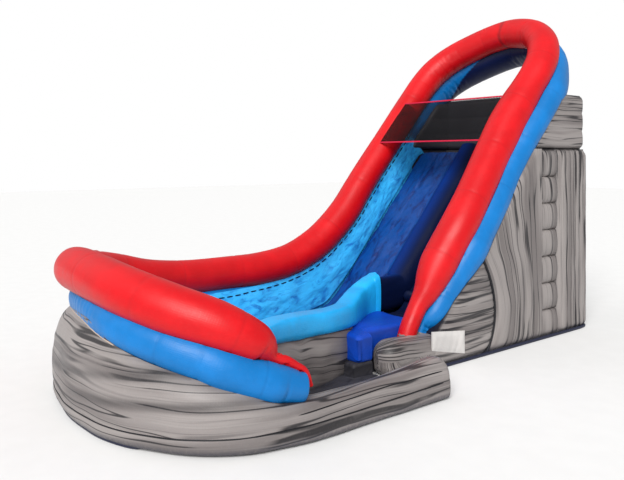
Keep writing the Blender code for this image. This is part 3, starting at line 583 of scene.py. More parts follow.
RED_ARCH_TO = RED.nearest(arch_point(*ARCH[-1]))
RED_TAIL_FROM = RED.nearest((2.30, -6.37, 1.24))
RED_POOL_FROM = RED.nearest(POOL[0])
RED_CORNER = RED.nearest(POOL[6])
RED_POOL_FRONT = RED.nearest(POOL[10])
CORNER_REACH = 1.6

NEAR_OUTSETS = ((0.44, 0.0), (0.66, 0.01), (0.90, 0.05), (1.37, 0.065), (1.60, 0.08), (2.10, 0.12),
                (2.90, 0.16), (3.46, 0.165), (3.65, 0.18), (4.25, 0.19), (4.60, 0.18), (4.82, 0.155),
                (5.00, 0.085), (5.20, 0.03), (5.40, -0.01), (5.60, 0.0))
FAR_OUTSETS = ((4.60, LEG_OUTSET), (5.20, 0.07), (5.60, 0.02), (5.80, 0.0))
BLUE_TAIL = [(2.440, -6.14, 0.705, 0.250), (2.490, -5.93, 0.640, 0.222), (2.530, -5.78, 0.595, 0.198),
             (2.550, -5.69, 0.575, 0.182)]
BLUE_STEP = 0.32
FOOT_RUN = 1.1
FOOT_RADIUS = 0.07
POOL_CHANGE = 1.5


def beside_pool(distance, before, at_corner, after):
    """A measure that changes towards the pool's far corner and again towards its front."""
    if distance < RED_CORNER:
        return blend(before, at_corner, 1.0 - (RED_CORNER - distance) / CORNER_REACH)
    return blend(at_corner, after, (distance - RED_CORNER) / (RED_POOL_FRONT - RED_CORNER))


def blue_point(distance, stack, outset, radius):
    """A point of the blue tube, under the red one as seen off the slope or off the ground."""
    spot = RED.at(distance)[:3]
    ahead = RED.direction(distance)
    if RED_ARCH_FROM - 1.0 < distance < RED_ARCH_TO + 0.5:
        up = SLOPE_NORMAL
        outward = unit(np.cross(ahead, up))
    else:
        outward = unit(np.cross(ahead, UP))
        up = np.cross(outward, ahead)
    return (*(spot - up * stack + outward * outset), radius)


def blue_route():
    points = []
    arch_middle = (RED_ARCH_FROM + RED_ARCH_TO) / 2
    arch_half = arch_middle - RED_ARCH_FROM
    for distance in stations(0.0, RED_TAIL_FROM, BLUE_STEP):
        if distance < RED_POOL_FROM:
            foot = min(1.0, distance / FOOT_RUN)
            arch = 1.0 - abs(distance - arch_middle) / (arch_half + 0.8)
            stack = blend(STACK, ARCH_STACK, 2.0 * arch) * blend(0.65, 1.0, foot)
            radius = blend(FOOT_RADIUS, BLUE_RADIUS, foot)
            table = NEAR_OUTSETS if distance < arch_middle else FAR_OUTSETS
            outset = along_table(table, RED.at(distance)[2])
        else:
            share = (distance - RED_POOL_FROM) / POOL_CHANGE
            radius = blend(BLUE_RADIUS, BLUE_POOL_RADIUS, share)
            stack = blend(STACK, POOL_STACK, share)
            outset = beside_pool(distance, 0.0, -CORNER_INSET, BLUE_OUTSET)
            if distance < RED_CORNER:
                outset = outset + blend(LEG_OUTSET, 0.0, share)
        points.append(blue_point(distance, stack, outset, radius))
    return Route(points + BLUE_TAIL)


BLUE = blue_route()


def frames(route, distances):
    """Places, directions, outward sides and upward sides along a tube. Upward is off the slope,
    then off the ground. The blue tube runs beside the red one, so its distances are scaled."""
    rows = route.at(distances)
    ahead = route.direction(distances)
    on_red = np.asarray(distances) * RED.length / route.length
    share = ease((on_red - RED_ARCH_TO) / (RED_POOL_FROM - RED_ARCH_TO))[..., None]
    side = unit(np.cross(ahead, unit(SLOPE_NORMAL * (1.0 - share) + UP * share)))
    return rows, ahead, side, np.cross(side, ahead)


# Mesh building

SHARP_ANGLE = math.radians(50.0)


def piece(name, vertices, faces, materials):
    mesh = bpy.data.meshes.new(name)
    mesh.from_pydata(vertices, [], faces)
    for material in materials:
        mesh.materials.append(material)
    return show(name, mesh)


def ring_faces(first, rings, around):
    """The side faces and the two ends of a grid of rings, from the number of its first point."""
    index = first + np.arange(rings * around).reshape(rings, around)
    after = np.roll(index, -1, axis=1)
    quads = np.stack((index[:-1], after[:-1], after[1:], index[1:]), axis=-1).reshape(-1, 4)
    return quads.tolist() + [index[0, ::-1].tolist(), index[-1].tolist()]


def skin(name, points, materials, uv, face_material=None, crease=None):
    """A closed surface over a grid of rings, with an end face on each side. crease tells per point
    how dark it is painted, from 0 to 1: shade in seams, folds and shaded sides, and dark lines."""
    rings, around = points.shape[:2]
    made = piece(name, points.reshape(-1, 3).tolist(), ring_faces(0, rings, around), materials)
    mesh = made.data
    if crease is not None:
        dark = mesh.attributes.new("crease", "FLOAT", "POINT")
        dark.data.foreach_set("value", np.broadcast_to(crease, (rings, around)).ravel())
    corner = np.stack((uv[:-1, :-1], uv[:-1, 1:], uv[1:, 1:], uv[1:, :-1]), axis=2).reshape(-1, 2)
    flat = np.concatenate((corner, uv[0, :around][::-1], uv[-1, :around]))
    mesh.uv_layers.new(name="UVMap").data.foreach_set("uv", flat.ravel())
    if face_material is not None:
        kinds = face_material[:rings - 1].ravel().tolist() + [0, 0]
        mesh.polygons.foreach_set("material_index", kinds)
    mesh.validate()
    mesh.shade_smooth()
    mesh.set_sharp_from_angle(angle=SHARP_ANGLE)
    return made


def fit(made, slot, *nodes, fill=None):
    """Rides a piece on the body and hides the solids that it stands for."""
    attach(made, "root")
    if nodes:
        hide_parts(*nodes)


def ring_uv(points, spots):
    """Texture places: the distance along the piece and the distance round each ring."""
    looped = np.concatenate((points, points[:, :1]), axis=1)
    steps = np.linalg.norm(np.diff(looped, axis=1), axis=2)
    around = np.concatenate((np.zeros((len(points), 1)), np.cumsum(steps, axis=1)), axis=1)
    return np.stack(np.broadcast_arrays(spots[:, None], around), axis=-1)


def even_uv(spots, height, count):
    """Texture places on rings whose points lie evenly over a given height."""
    around = np.linspace(0.0, height, count + 1)
    return np.stack(np.broadcast_arrays(spots[:, None], around), axis=-1)


def rods(name, bars, material):
    """Many thin closed rods in one mesh, each a grid of rings."""
    vertices = []
    faces = []
    for rings in bars:
        faces.extend(ring_faces(len(vertices), *rings.shape[:2]))
        vertices.extend(rings.reshape(-1, 3).tolist())
    return piece(name, vertices, faces, [material])


def rings_round(path, side, up, across, rise):
    """Rings round a line of points, each point of a ring offset to the side and up."""
    return path[:, None, :] + across[:, :, None] * side[:, None, :] + rise[:, :, None] * up[:, None, :]


class Pressing:
    """Pushes points out of a tube, so a neighbour dents where it lies against it."""

    SLICE = 0.06

    def __init__(self, route, margin=0.002):
        self.route = route
        self.margin = margin
        self.tree = KDTree(len(route.rows))
        for number, row in enumerate(route.rows):
            self.tree.insert(row[:3], number)
        self.tree.balance()
        self.directions = route.direction(route.lengths)

    def apply(self, points):
        """Moves the points and tells which of them were touched."""
        flat = points.reshape(-1, 3)
        nearest = np.array([self.tree.find(point)[1] for point in flat.tolist()])
        rows = self.route.rows[nearest]
        ahead = self.directions[nearest]
        away = flat - rows[:, :3]
        along = np.sum(away * ahead, axis=1, keepdims=True)
        beyond = ((nearest == 0) & (along[:, 0] < 0)) | (
            (nearest == len(self.route.rows) - 1) & (along[:, 0] > 0))
        across = away - along * ahead
        distance = np.linalg.norm(across, axis=1)
        reach = rows[:, 3] + self.margin
        inside = (distance < reach) & ~beyond & (np.abs(along[:, 0]) < self.SLICE)
        scale = np.where(inside, reach / np.maximum(distance, 1e-6), 1.0)[:, None]
        moved = np.where(inside[:, None], rows[:, :3] + along * ahead + across * scale, flat)
        return moved.reshape(points.shape), inside.reshape(points.shape[:2])


RED_PRESS = Pressing(RED)
BLUE_PRESS = Pressing(BLUE)


def pressed(points, *tubes):
    for tube in tubes:
        points, _ = tube.apply(points)
    return points


# Border tubes

TUBE_SIDES = 60
TUBE_STEP = 0.026
TURN_LENGTH = 0.3
SEAM_PITCH = 1.16
RED_SEAM = 0.3
BLUE_SEAM = 0.8
# How dark the tubes' cross seams are: their stitching, with painted shade in the seam's groove
SEAM_STITCH_AND_SHADE = 0.11
END_RINGS = 8
END_LEAST = 0.06
TUBE_PLACES = ("near", "arch", "far", "pool_side", "pool_end")
ARCH_DROP = 0.15
SHADE_NEAR = BLUE.nearest(arch_point(1.343, 0.250))
SHADE_APEX = BLUE.nearest(arch_point(-1.060, 1.310))
SHADE_FAR = BLUE.nearest(arch_point(-1.470, 0.680))
ARCH_FOLD = RED.nearest(arch_point(0.050, 1.857))
RED_CORNER_FOLD = RED.nearest((-1.30, -6.80, 1.6))
BLUE_CORNER = BLUE.nearest((-0.9, -7.1, 1.3))


def seam_mark(distance, width, offset):
    """1 on a cross seam and 0 away from it."""
    gap = np.abs((distance - offset + SEAM_PITCH / 2) % SEAM_PITCH - SEAM_PITCH / 2)
    return bell(gap / width)


def close_end(points, uv, centre, outward, bulge):
    """Adds shrinking rings that round off the last end, bulging by a share of its radius."""
    added = []
    for step in np.linspace(0.0, math.pi / 2, END_RINGS)[1:]:
        scale = max(END_LEAST, math.cos(step))
        lift = outward * (math.sin(step) * centre[3] * bulge)
        added.append(centre[:3] + (points[-1] - centre[:3]) * scale + lift)
    last_uv = np.repeat(uv[-1:], len(added), axis=0)
    return np.concatenate((points, added)), np.concatenate((uv, last_uv))


def tube_rings(route, seed, bulges, wrinkles, seam, drop=None):
    """Rings of a tube with cross seams, puckers beside them and creases in its bends."""
    body = stations(0.0, route.length, TUBE_STEP)
    rows, ahead, side, up = frames(route, body)
    angle = turns(TUBE_SIDES)
    bend = np.gradient(ahead, body, axis=0)
    strength = np.linalg.norm(bend, axis=1)[:, None]
    spread = np.cos(angle)[None, :, None] * side[:, None, :] + np.sin(angle)[None, :, None] * up[:, None, :]
    inner = np.clip(np.einsum("nk,nmk->nm", bend, spread), 0.0, 2.0)
    u = body[:, None]
    v = angle[None, :] * TURN_LENGTH
    pucker = np.sin(angle * 22 + 3 * np.sin(angle * 3 + seed))[None, :]
    fold = np.abs(ripple(u, v * 0.25, seed + 3, 0.09, 0.21))
    width = rows[:, 3:]
    radius = width - 0.004 * seam_mark(u, 0.022, seam) + 0.0012 * seam_mark(u, 0.10, seam) * pucker
    radius = radius + 0.0035 * ripple(u, v * 3, seed, 0.7, 2.4)
    radius = radius - 0.010 * inner * fold * np.clip(strength, 0.3, 1.4)
    radius = radius + wrinkles(u, angle[None, :]) * width / BLUE_RADIUS
    points = rows[:, None, :3] + spread * radius[:, :, None]
    if drop:
        points = shifted(points, up, -drop(u) * np.clip(-np.sin(angle), 0.0, 1.0))
    uv = even_uv(body, math.tau * TURN_LENGTH, TUBE_SIDES)
    for way, end, bulge in ((-1, 0, bulges[0]), (1, -1, bulges[1])):
        points, uv = close_end(points[::way], uv[::way], rows[end], way * ahead[end], bulge)
        points = points[::way]
        uv = uv[::way]
    return points, uv


def arch_drop(u):
    """How far the blue tube's underside hangs lower round the arch."""
    return ARCH_DROP * ease((u - SHADE_NEAR + 0.25) / 0.9) * ease((SHADE_FAR + 0.95 - u) / 1.1)


def arch_underside_shade(u, angle):
    """Painted shade on the blue tube's underside round the arch: 1 where it is painted navy, 0 where it
    keeps its light blue.
    """
    degrees = np.degrees(angle)
    far = SHADE_APEX + (SHADE_FAR - SHADE_APEX) * np.clip((degrees - 170.0) / 60.0, -0.6, 1.6)
    under = ease((degrees - 92.0) / 8.0) * ease((282.0 - degrees) / 8.0)
    return ease((u - SHADE_NEAR) / 0.08) * ease((far - u) / 0.04) * under


def arch_fold_shade(u, angle):
    """Painted shade in a dark band across the red tube at the top of the arch."""
    return 0.42 * bell((u - ARCH_FOLD - 0.03 * np.sin(3.0 * angle)) / 0.045)


def blue_wrinkles(u, angle):
    """Gathers across the blue tube's outer side where it turns round the pool's far corner."""
    outer = bell((u - BLUE_CORNER - 0.5) / 1.1) * ease(0.6 + np.cos(angle + 0.5))
    return 0.0045 * outer * np.sin(u * 52 + 2.2 * np.sin(angle * 2.0) + 1.3 * np.sin(u * 9))


def red_wrinkles(u, angle):
    """The slack fold that crosses the top of the red tube at the pool's far corner."""
    gap = (u - RED_CORNER_FOLD - 0.55 * (angle - 1.9)) / 0.035
    return bell((angle - 1.75) / 0.75) * (0.006 * bell(gap - 2.2) - 0.012 * bell(gap))


def add_tube(colour, slot, material, points, uv, seam, mark):
    run = uv[:, :TUBE_SIDES, 0]
    # Painted shade: the seams' grooves, the red tube's dark band at the arch top and the blue tube's navy
    # underside
    dark = np.maximum(SEAM_STITCH_AND_SHADE * seam_mark(run, 0.014, seam),
                      mark(run, uv[:, :TUBE_SIDES, 1] / TURN_LENGTH))
    tube = skin(colour + "_border_tube", points, [material], uv, crease=dark)
    fit(tube, slot, *("%s_tube_%s" % (colour, place) for place in TUBE_PLACES), fill=1.0)


def add_tubes():
    points, uv = tube_rings(RED, 4, (0.8, 0.9), red_wrinkles, RED_SEAM)
    add_tube("red", "red_vinyl", RED_VINYL, points, uv, RED_SEAM, arch_fold_shade)
    points, uv = tube_rings(BLUE, 9, (0.8, 0.14), blue_wrinkles, BLUE_SEAM, arch_drop)
    points = pressed(points, RED_PRESS)
    add_tube("blue", "light_blue_vinyl", BLUE_VINYL, points, uv, BLUE_SEAM, arch_underside_shade)


add_tubes()


# Walls that stand on the ground along a route

MARBLED = "grey_marble_vinyl"
FINE_POINTS = 1440
WALL_UNDER_BLUE = ((-1.5, 0.0), (-1.3, -0.07), (-0.9, -0.11), (-0.4, -0.08), (0.1, -0.01), (0.9, 0.0),
                   (1.25, -0.04), (1.6, -0.12), (2.6, -0.14))
WALL_BANDS = (((-0.9, 0.47), (1.6, 0.83), (2.05, 0.885)), ((0.4, 0.41), (1.6, 0.54), (2.45, 0.585)))
POOL_WALL_STEP = 0.40


def wall_section(count, upper, lower):
    """Points round a section, spaced evenly for a wall of usual proportions: shares of the
    half width, and heights as 1 at the top, 0 at the belly and -1 at the foot."""
    fine = turns(FINE_POINTS) - 0.5 * math.pi
    x, z = boxy(fine, np.where(np.sin(fine) >= 0, upper, lower))
    real = np.stack((x * 0.3, np.where(z > 0, z * 0.6, z * 0.4)), axis=1)
    length = run_lengths(np.vstack((real, real[:1])))
    spots = np.linspace(0.0, length[-1], count + 1)[:-1]
    low = np.floor(np.interp(spots, length, np.arange(len(length)))).astype(int) % len(x)
    return x[low], z[low]


def wall_rings(route, spots, half_width, top, belly, upper, lower, count):
    """Rings of an inflated wall. Positive shares face outward, to the right of the run."""
    outward = np.cross(unit(route.direction(spots) * FLAT), UP)
    x, z = wall_section(count, upper, lower)
    belly = belly[:, None]
    height = np.where(z >= 0, belly + (top[:, None] - belly) * z, belly * (1.0 + z))
    points = rings_round(route.at(spots)[:, :3] * FLAT, outward, UP[None], x * half_width[:, None], height)
    return points, outward, np.broadcast_to(x, height.shape), height


def end_round(spots, start, end, reach):
    """A share that shrinks a wall to a rounded end on each side that is given."""
    left = np.clip((spots - start) / reach, 0.0, 1.0) if start is not None else 1.0
    right = np.clip((end - spots) / reach, 0.0, 1.0) if end is not None else 1.0
    return np.sqrt(1.0 - (1.0 - np.minimum(left, right)) ** 2 * 0.995)


def pool_wall_rows():
    """Rows of x, y, 0 and the wall's height, under the blue tube."""
    start = RED.nearest((-1.53, FAR_WALL_END - 0.3, 1.5))
    points = [(RED.at(start)[0], FAR_WALL_END, 0.0, 1.10)]
    for distance in stations(start, RED_TAIL_FROM, POOL_WALL_STEP):
        spot = RED.at(distance)[:3]
        outward = unit(np.cross(RED.direction(distance), UP))
        x, y, _ = spot + outward * beside_pool(distance, 0.0, -POOL_WALL_CORNER_INSET, POOL_WALL_OUTSET)
        blue = BLUE.at(BLUE.nearest(spot - UP * POOL_STACK))
        points.append((x, y, 0.0, blue[2] + along_table(WALL_UNDER_BLUE, x)))
    return points + [(2.47, -6.05, 0.0, 0.53), (2.53, -5.80, 0.0, 0.49)]


POOL_ROWS = pool_wall_rows()
POOL_WALL = Route(POOL_ROWS)
GROUND_WALL = Route(POOL_ROWS + [(2.565, -5.50, 0.0, 0.44)] + [(LOW_WALL_X, y, 0.0, top) for y, top in (
    (-5.10, 0.43), (-4.50, 0.44), (-3.90, 0.48), (-3.25, 0.55))])


def add_ground_wall():
    """The pool's outer wall, which runs on as the low wall beside the entrance. Tells its rings
    and which points of them are outside and touched by a tube."""
    spots = stations(0.0, GROUND_WALL.length, RING_STEP)
    past_pool = spots - POOL_WALL.length
    place = GROUND_WALL.at(spots)
    top = place[:, 3] - 0.06 * np.clip(1.0 - (GROUND_WALL.length - spots) / 0.20, 0.0, 1.0) ** 2
    half = blend(POOL_WALL_WIDTH, LOW_WALL_WIDTH, (past_pool + 0.2) / 0.8) / 2
    half = half * end_round(spots, None, GROUND_WALL.length, 0.13)
    points, outward, share, height = wall_rings(
        GROUND_WALL, spots, half, top, np.minimum(0.44, 0.45 * top), 2.1, 5.5, 64)
    slack = blend(0.25, 0.0, (past_pool + 2.0) / 0.8) * half
    u = spots[:, None]
    relief = (0.006 * ripple(u, height * 2.2, 21, 0.6, 2.2)
              + 0.0035 * ripple(u * 0.35, height, 22, 0.10, 0.3)
              - 0.010 * bell((height - (0.16 + 0.010 * u)) / 0.03))
    points = shifted(points, outward, relief * np.clip(np.abs(share) * 1.6, 0.0, 1.0) * np.sign(share)
                     - np.minimum(share, 0.0) * slack[:, None])
    points, by_blue = BLUE_PRESS.apply(points)
    points, by_red = RED_PRESS.apply(points)
    dark = np.zeros(height.shape)
    for band in WALL_BANDS:
        gap = (height - along_table(band, place[:, 0])[:, None]) / 0.05
        shown = ease((place[:, 0] - band[0][0] + 0.3) / 0.5) * ease((band[-1][0] + 0.2 - place[:, 0]) / 0.4)
        dark = np.maximum(dark, 0.5 * shown[:, None] * bell(gap) * (share > 0.0))
    pool_side = (share < 0.05) & (past_pool[:, None] < -0.1)
    wall = skin("pool_and_entrance_wall", points, [MARBLE, LINER_LIT_VINYL], ring_uv(points, spots),
                np.where(pool_side, 1, 0), dark)
    fit(wall, MARBLED, "pool_wall_far", "pool_wall_front", "pool_wall_corner", "low_wall", fill=1.0)
    return list(zip(points, spots, share, by_blue | by_red))


GROUND_RINGS = add_ground_wall()

PIPING_SIDES = 8
PIPING_TAPER = 0.20
TAPE_FROM_X = -0.50
WALL_CREASE_FROM = 3.1
WALL_CREASE_END = GROUND_WALL.length - 0.20
FLANGE_END = GROUND_WALL.nearest((1.60, -7.10, 0.0))
ACROSS = np.array((1.0, 0.0, 0.0))


def piping(name, path, radius, material, reference=UP):
    """A thin round welt along a row of points, nowhere parallel to the reference."""
    ahead = unit(np.gradient(path, axis=0))
    side = unit(np.cross(ahead, reference))
    angle = turns(PIPING_SIDES)
    length = run_lengths(path)
    size = radius * end_round(length, 0.0, length[-1], PIPING_TAPER)[:, None]
    points = rings_round(path, side, np.cross(side, ahead), size * np.cos(angle), size * np.sin(angle))
    points[:, :, 2] = np.maximum(points[:, :, 2], 0.0)
    fit(skin(name, points, [material], even_uv(length, math.tau * radius, PIPING_SIDES)), MARBLED)


def contact_line():
    """Where the wall's outer side meets the blue tube that lies on it, round the pool's front."""
    line = []
    for ring, _, share, touched in GROUND_RINGS:
        chosen = touched & (share > 0.05)
        if chosen.any() and ring[:, 0].mean() > TAPE_FROM_X:
            line.append(ring[np.where(chosen)[0][np.argmin(ring[chosen][:, 2])]])
    return smooth_path(np.array(line), 14)


def wall_height_line(start, end, low, high, proud=0.0):
    """A line on the ground wall's outer side that climbs evenly between two heights."""
    line = []
    for ring, spot, share, _ in GROUND_RINGS:
        if start <= spot <= end:
            outer = ring[share > 0.3]
            level = low + (high - low) * (spot - start) / (end - start)
            place = outer[np.argmin(np.abs(outer[:, 2] - level))][:2]
            line.append((*(place + unit(place - ring[:, :2].mean(axis=0)) * proud), level))
    return smooth_path(np.array(line), 12)


for welt, line, size, tape in (
        ("wall_seam_tape", contact_line(), 0.012, BEIGE_TAPE),
        ("wall_crease_line", wall_height_line(WALL_CREASE_FROM, WALL_CREASE_END, 0.17, 0.25), 0.010,
         DARK_TAPE),
        ("low_wall_crease_line", wall_height_line(POOL_WALL.length - 0.1, WALL_CREASE_END, 0.36, 0.40),
         0.009, DARK_TAPE),
        ("wall_ground_flange", wall_height_line(0.3, FLANGE_END, 0.022, 0.022, 0.012), 0.026,
         NAVY_WELT)):
    piping(welt, line, size, tape)


# Splash wall between the pool and the entrance

SPLASH = Route([(x, y, 0.0, 0.0) for x, y in SPLASH_PLAN])
SPLASH_BLUE_TOP = ((0.0, 1.30), (0.2, 1.22), (0.5, 1.11), (1.0, 1.06), (1.5, 1.04), (2.0, 1.06),
                   (2.6, 1.11), (3.4, 1.18), (4.6, 1.22))
SPLASH_BLUE_FOOT = ((0.0, 0.51), (0.5, 0.52), (1.0, 0.59), (1.5, 0.67), (2.0, 0.72), (2.6, 0.775),
                    (3.0, 0.80), (3.4, 0.86), (3.8, 0.92), (4.6, 0.94))
SPLASH_BLUE_HALF = 0.180


def add_splash_wall():
    """A grey wall with a light blue chamber on it, tall where it leaves the slide."""
    spots = stations(0.0, SPLASH.length, RING_STEP)
    u = spots[:, None]
    foot = along_table(SPLASH_BLUE_FOOT, spots)
    top = foot + 0.05
    half = SPLASH_WIDTH / 2 * end_round(spots, 0.0, None, 0.05)
    points, outward, share, height = wall_rings(SPLASH, spots, half, top, 0.40 * top, 3.4, 5.0, 48)
    relief = 0.005 * ripple(u, height * 2, 31, 0.3, 1.4) * np.sign(share)
    points = pressed(shifted(points, outward, relief), RED_PRESS)
    lower = skin("splash_wall_lower", points, [MARBLE, LINER_LIT_VINYL], ring_uv(points, spots),
                 np.where(share > 0.0, 1, 0))
    fit(lower, MARBLED, "splash_wall", fill=1.0)
    top = along_table(SPLASH_BLUE_TOP, spots)
    angle = turns(56) - math.pi / 2
    across, rise = boxy(angle, 4.0)
    half = SPLASH_BLUE_HALF * end_round(spots, 0.0, None, 0.03)[:, None]
    bulge = 1.0 + 0.025 * ripple(u, angle, 33, 0.4, 1.6)
    middle = SPLASH.at(spots)[:, :3] + UP * ((top + foot) / 2)[:, None]
    tall = ((top - foot) / 2)[:, None]
    points = rings_round(middle, outward, UP[None], across * half * bulge, rise * tall)
    points = pressed(points, RED_PRESS)
    # Its blue takes the brighter copy of the light blue: painted light
    upper = skin("splash_wall_upper", points, [SPLASH_LIT_VINYL], ring_uv(points, spots))
    fit(upper, "light_blue_vinyl", "splash_wall_tube", fill=1.0)


add_splash_wall()


# Flat-sided chambers

# For X, Y and Z: 0 for along, 1 for across and 2 for depth
ON_SIDE = (2, 1, 0)
ON_REAR = (1, 2, 0)
ON_GROUND = (1, 0, 2)
TUBES = (BLUE_PRESS, RED_PRESS)


def limits(limit, spots):
    """A chamber's border at each spot, from a measure or a function of the spot."""
    return np.array([limit(spot) if callable(limit) else limit for spot in spots])[:, None]


def chamber(name, slot, node, span, borders, depths, axes, materials, edge, count, relief,
            crosswise=False, both=False, rounded=(True, True, True, True), press=(), dark=None,
            seam=0.8, seam_shade_reach=0.015, streak_line=None, fill=1.0):
    """An inflated slab swept along one axis: each section runs between two borders, bulges on
    its face and is closed by its back, which takes the last material. depths are the face and
    the back, edge is the rounding's reach and depth, and rounded tells which of the borders and
    ends it has. dark tells where the face has painted shade in its folds, seam how much painted
    shade darkens its outline, and streak_line which printed streak runs through a point."""
    spots = np.linspace(*span)
    lower, upper = (limits(border, spots) for border in borders)
    face, back = depths
    sign = 1.0 if face > back else -1.0
    even = np.linspace(0.0, 1.0, count)
    share = (0.45 * (0.5 - 0.5 * np.cos(even * math.pi)) + 0.55 * even)[None, :]

    def rows(share):
        across = lower + (upper - lower) * share
        along = np.broadcast_to(spots[:, None], across.shape)
        return along, across, (across - lower, upper - across, along - spots[0], spots[-1] - along)

    along, across, gaps = rows(share)
    gaps = [gap for gap, kept in zip(gaps, rounded) if kept]
    fall = rounding(gaps, *edge)
    lift = relief(along, across, share) * np.clip(1.0 - fall / edge[1], 0.0, 1.0)
    front = face - sign * fall + sign * lift
    # Painted shade along the outline, where the panel falls into its seam
    crease = seam * np.exp(-np.minimum.reduce(gaps) / seam_shade_reach)
    if dark:
        crease = np.maximum(crease, dark(along, across, share))
    rear_along, rear_across, rear_gaps = rows(share[:, ::-2])
    rear = np.full(rear_across.shape, back)
    if both:
        rear = rear + sign * rounding(rear_gaps, *edge)
        rear = rear - sign * relief(rear_along, rear_across, share[:, ::-2]) * 0.6
    parts = [np.concatenate(pair, axis=1) for pair in ((along, rear_along), (across, rear_across),
                                                       (front, rear))]
    points = pressed(np.stack([parts[axis] for axis in axes], axis=-1), *press)
    uv = ring_uv(points, spots)
    if streak_line:
        places = ((along, across), (rear_along, rear_across), (along[:, :1], across[:, :1]))
        uv[..., 1] = np.concatenate([streak_line(*place) for place in places], axis=1)
    if crosswise:
        uv = uv[..., ::-1]
    face_material = np.zeros(points.shape[:2], int)
    face_material[:, count:] = len(materials) - 1
    crease = np.concatenate((crease, 0.0 * rear), axis=1)
    fit(skin(name, points, materials, uv, face_material, crease), slot, node, fill=fill)


def crease_rows():
    """The near side wall's curved crease, from the ground up."""
    t = np.linspace(0.0, 1.0, 80)
    y = (1 - t) ** 2 * CREASE_TOP_Y + 2 * t * (1 - t) * CREASE_BULGE[0] + t * t * CREASE_FOOT_Y
    z = (1 - t) ** 2 * wall_line(CREASE_TOP_Y) + 2 * t * (1 - t) * CREASE_BULGE[1]
    return y[::-1], z[::-1]


CREASE_Y, CREASE_Z = crease_rows()
CREASE_TOP = CREASE_Z[-1]
CREASE_INSET = 0.058
CREASE_RADIUS = 0.028
FAR_FRONT = ((0.0, FAR_WALL_END), (1.02, FAR_WALL_END), (1.14, -2.25), (1.36, -1.82))
TOE_OVERLAP = 0.75
TOE_REAR = -2.35
BAFFLE_REAR = COLUMN_MIDDLE + 0.03
REAR_WALL_HALF = WALL_OUTER - 0.12
GUARD_FLOOR = BODY_TOP + CLEAR
GUARD_REAR_HALF = GUARD_INNER + 0.10
GUARD_REAR_TOP = GUARD_TOP + 0.05
GUARD_PITCH = 0.35
BAFFLE_PITCH = 0.49
BAFFLE_DEPTH = 0.11
FLUTE_PITCH = 0.153
REAR_FLUTE_PITCH = 0.358


def crease_y(z):
    return float(np.interp(z, CREASE_Z, CREASE_Y))


def middle_streaks(z, y):
    """Printed streaks that follow the crease on one side and the column on the other."""
    line = np.interp(z, CREASE_Z, CREASE_Y) - 0.45 * np.maximum(0.0, z - CREASE_TOP)
    return 3.4 * (y - line * (COLUMN_FRONT - y) / (COLUMN_FRONT - line))


def near_front(z):
    return max(TOE_FRONT + TOE_OVERLAP, wall_line_y(z))


def far_front(z):
    return float(along_table(FAR_FRONT, z)) if z < FAR_FRONT[-1][0] else wall_line_y(z)


def middle_front(z):
    return crease_y(z) if z < CREASE_TOP else wall_line_y(z)


def pleat_wave(along, across):
    return np.abs(np.sin(along * 24 + 0.8 * np.sin(across * 2.6 + along)))


def pleats(along, across, share):
    """Gathers that run back to the crease, deepest beside it."""
    strength = 0.35 + 0.65 * share ** 2
    return -0.013 * strength * pleat_wave(along, across) ** 3 + 0.004 * ripple(across, along, 41, 0.3, 1.2)


def pleat_shade(along, across, _):
    """Painted shade at the bottom of the gathers, broken up."""
    broken = ease(0.75 + 0.8 * ripple(across, along * 5.0, 42, 0.4, 1.5))
    return 0.85 * ease((pleat_wave(along, across) - 0.72) / 0.26) * broken * ease((1.75 - along) / 0.3)


def soft_relief(seed, amount=0.006):
    return lambda along, across, _: amount * ripple(along, across, seed, 0.4, 1.8)


def baffle_relief(along, across, _):
    return lobes(along, BAFFLE_PITCH, BAFFLE_DEPTH) + 0.004 * ripple(along, across, 43, 0.3, 0.9)


def flutes(pitch, depth, seed):
    return lambda along, across, _: (lobes(across, pitch, depth)
                                     + 0.003 * ripple(along, across, seed, 0.2, 1.0))


def guard_relief(along, *_):
    return lobes(along - GUARD_FLOOR, GUARD_PITCH, 0.03)


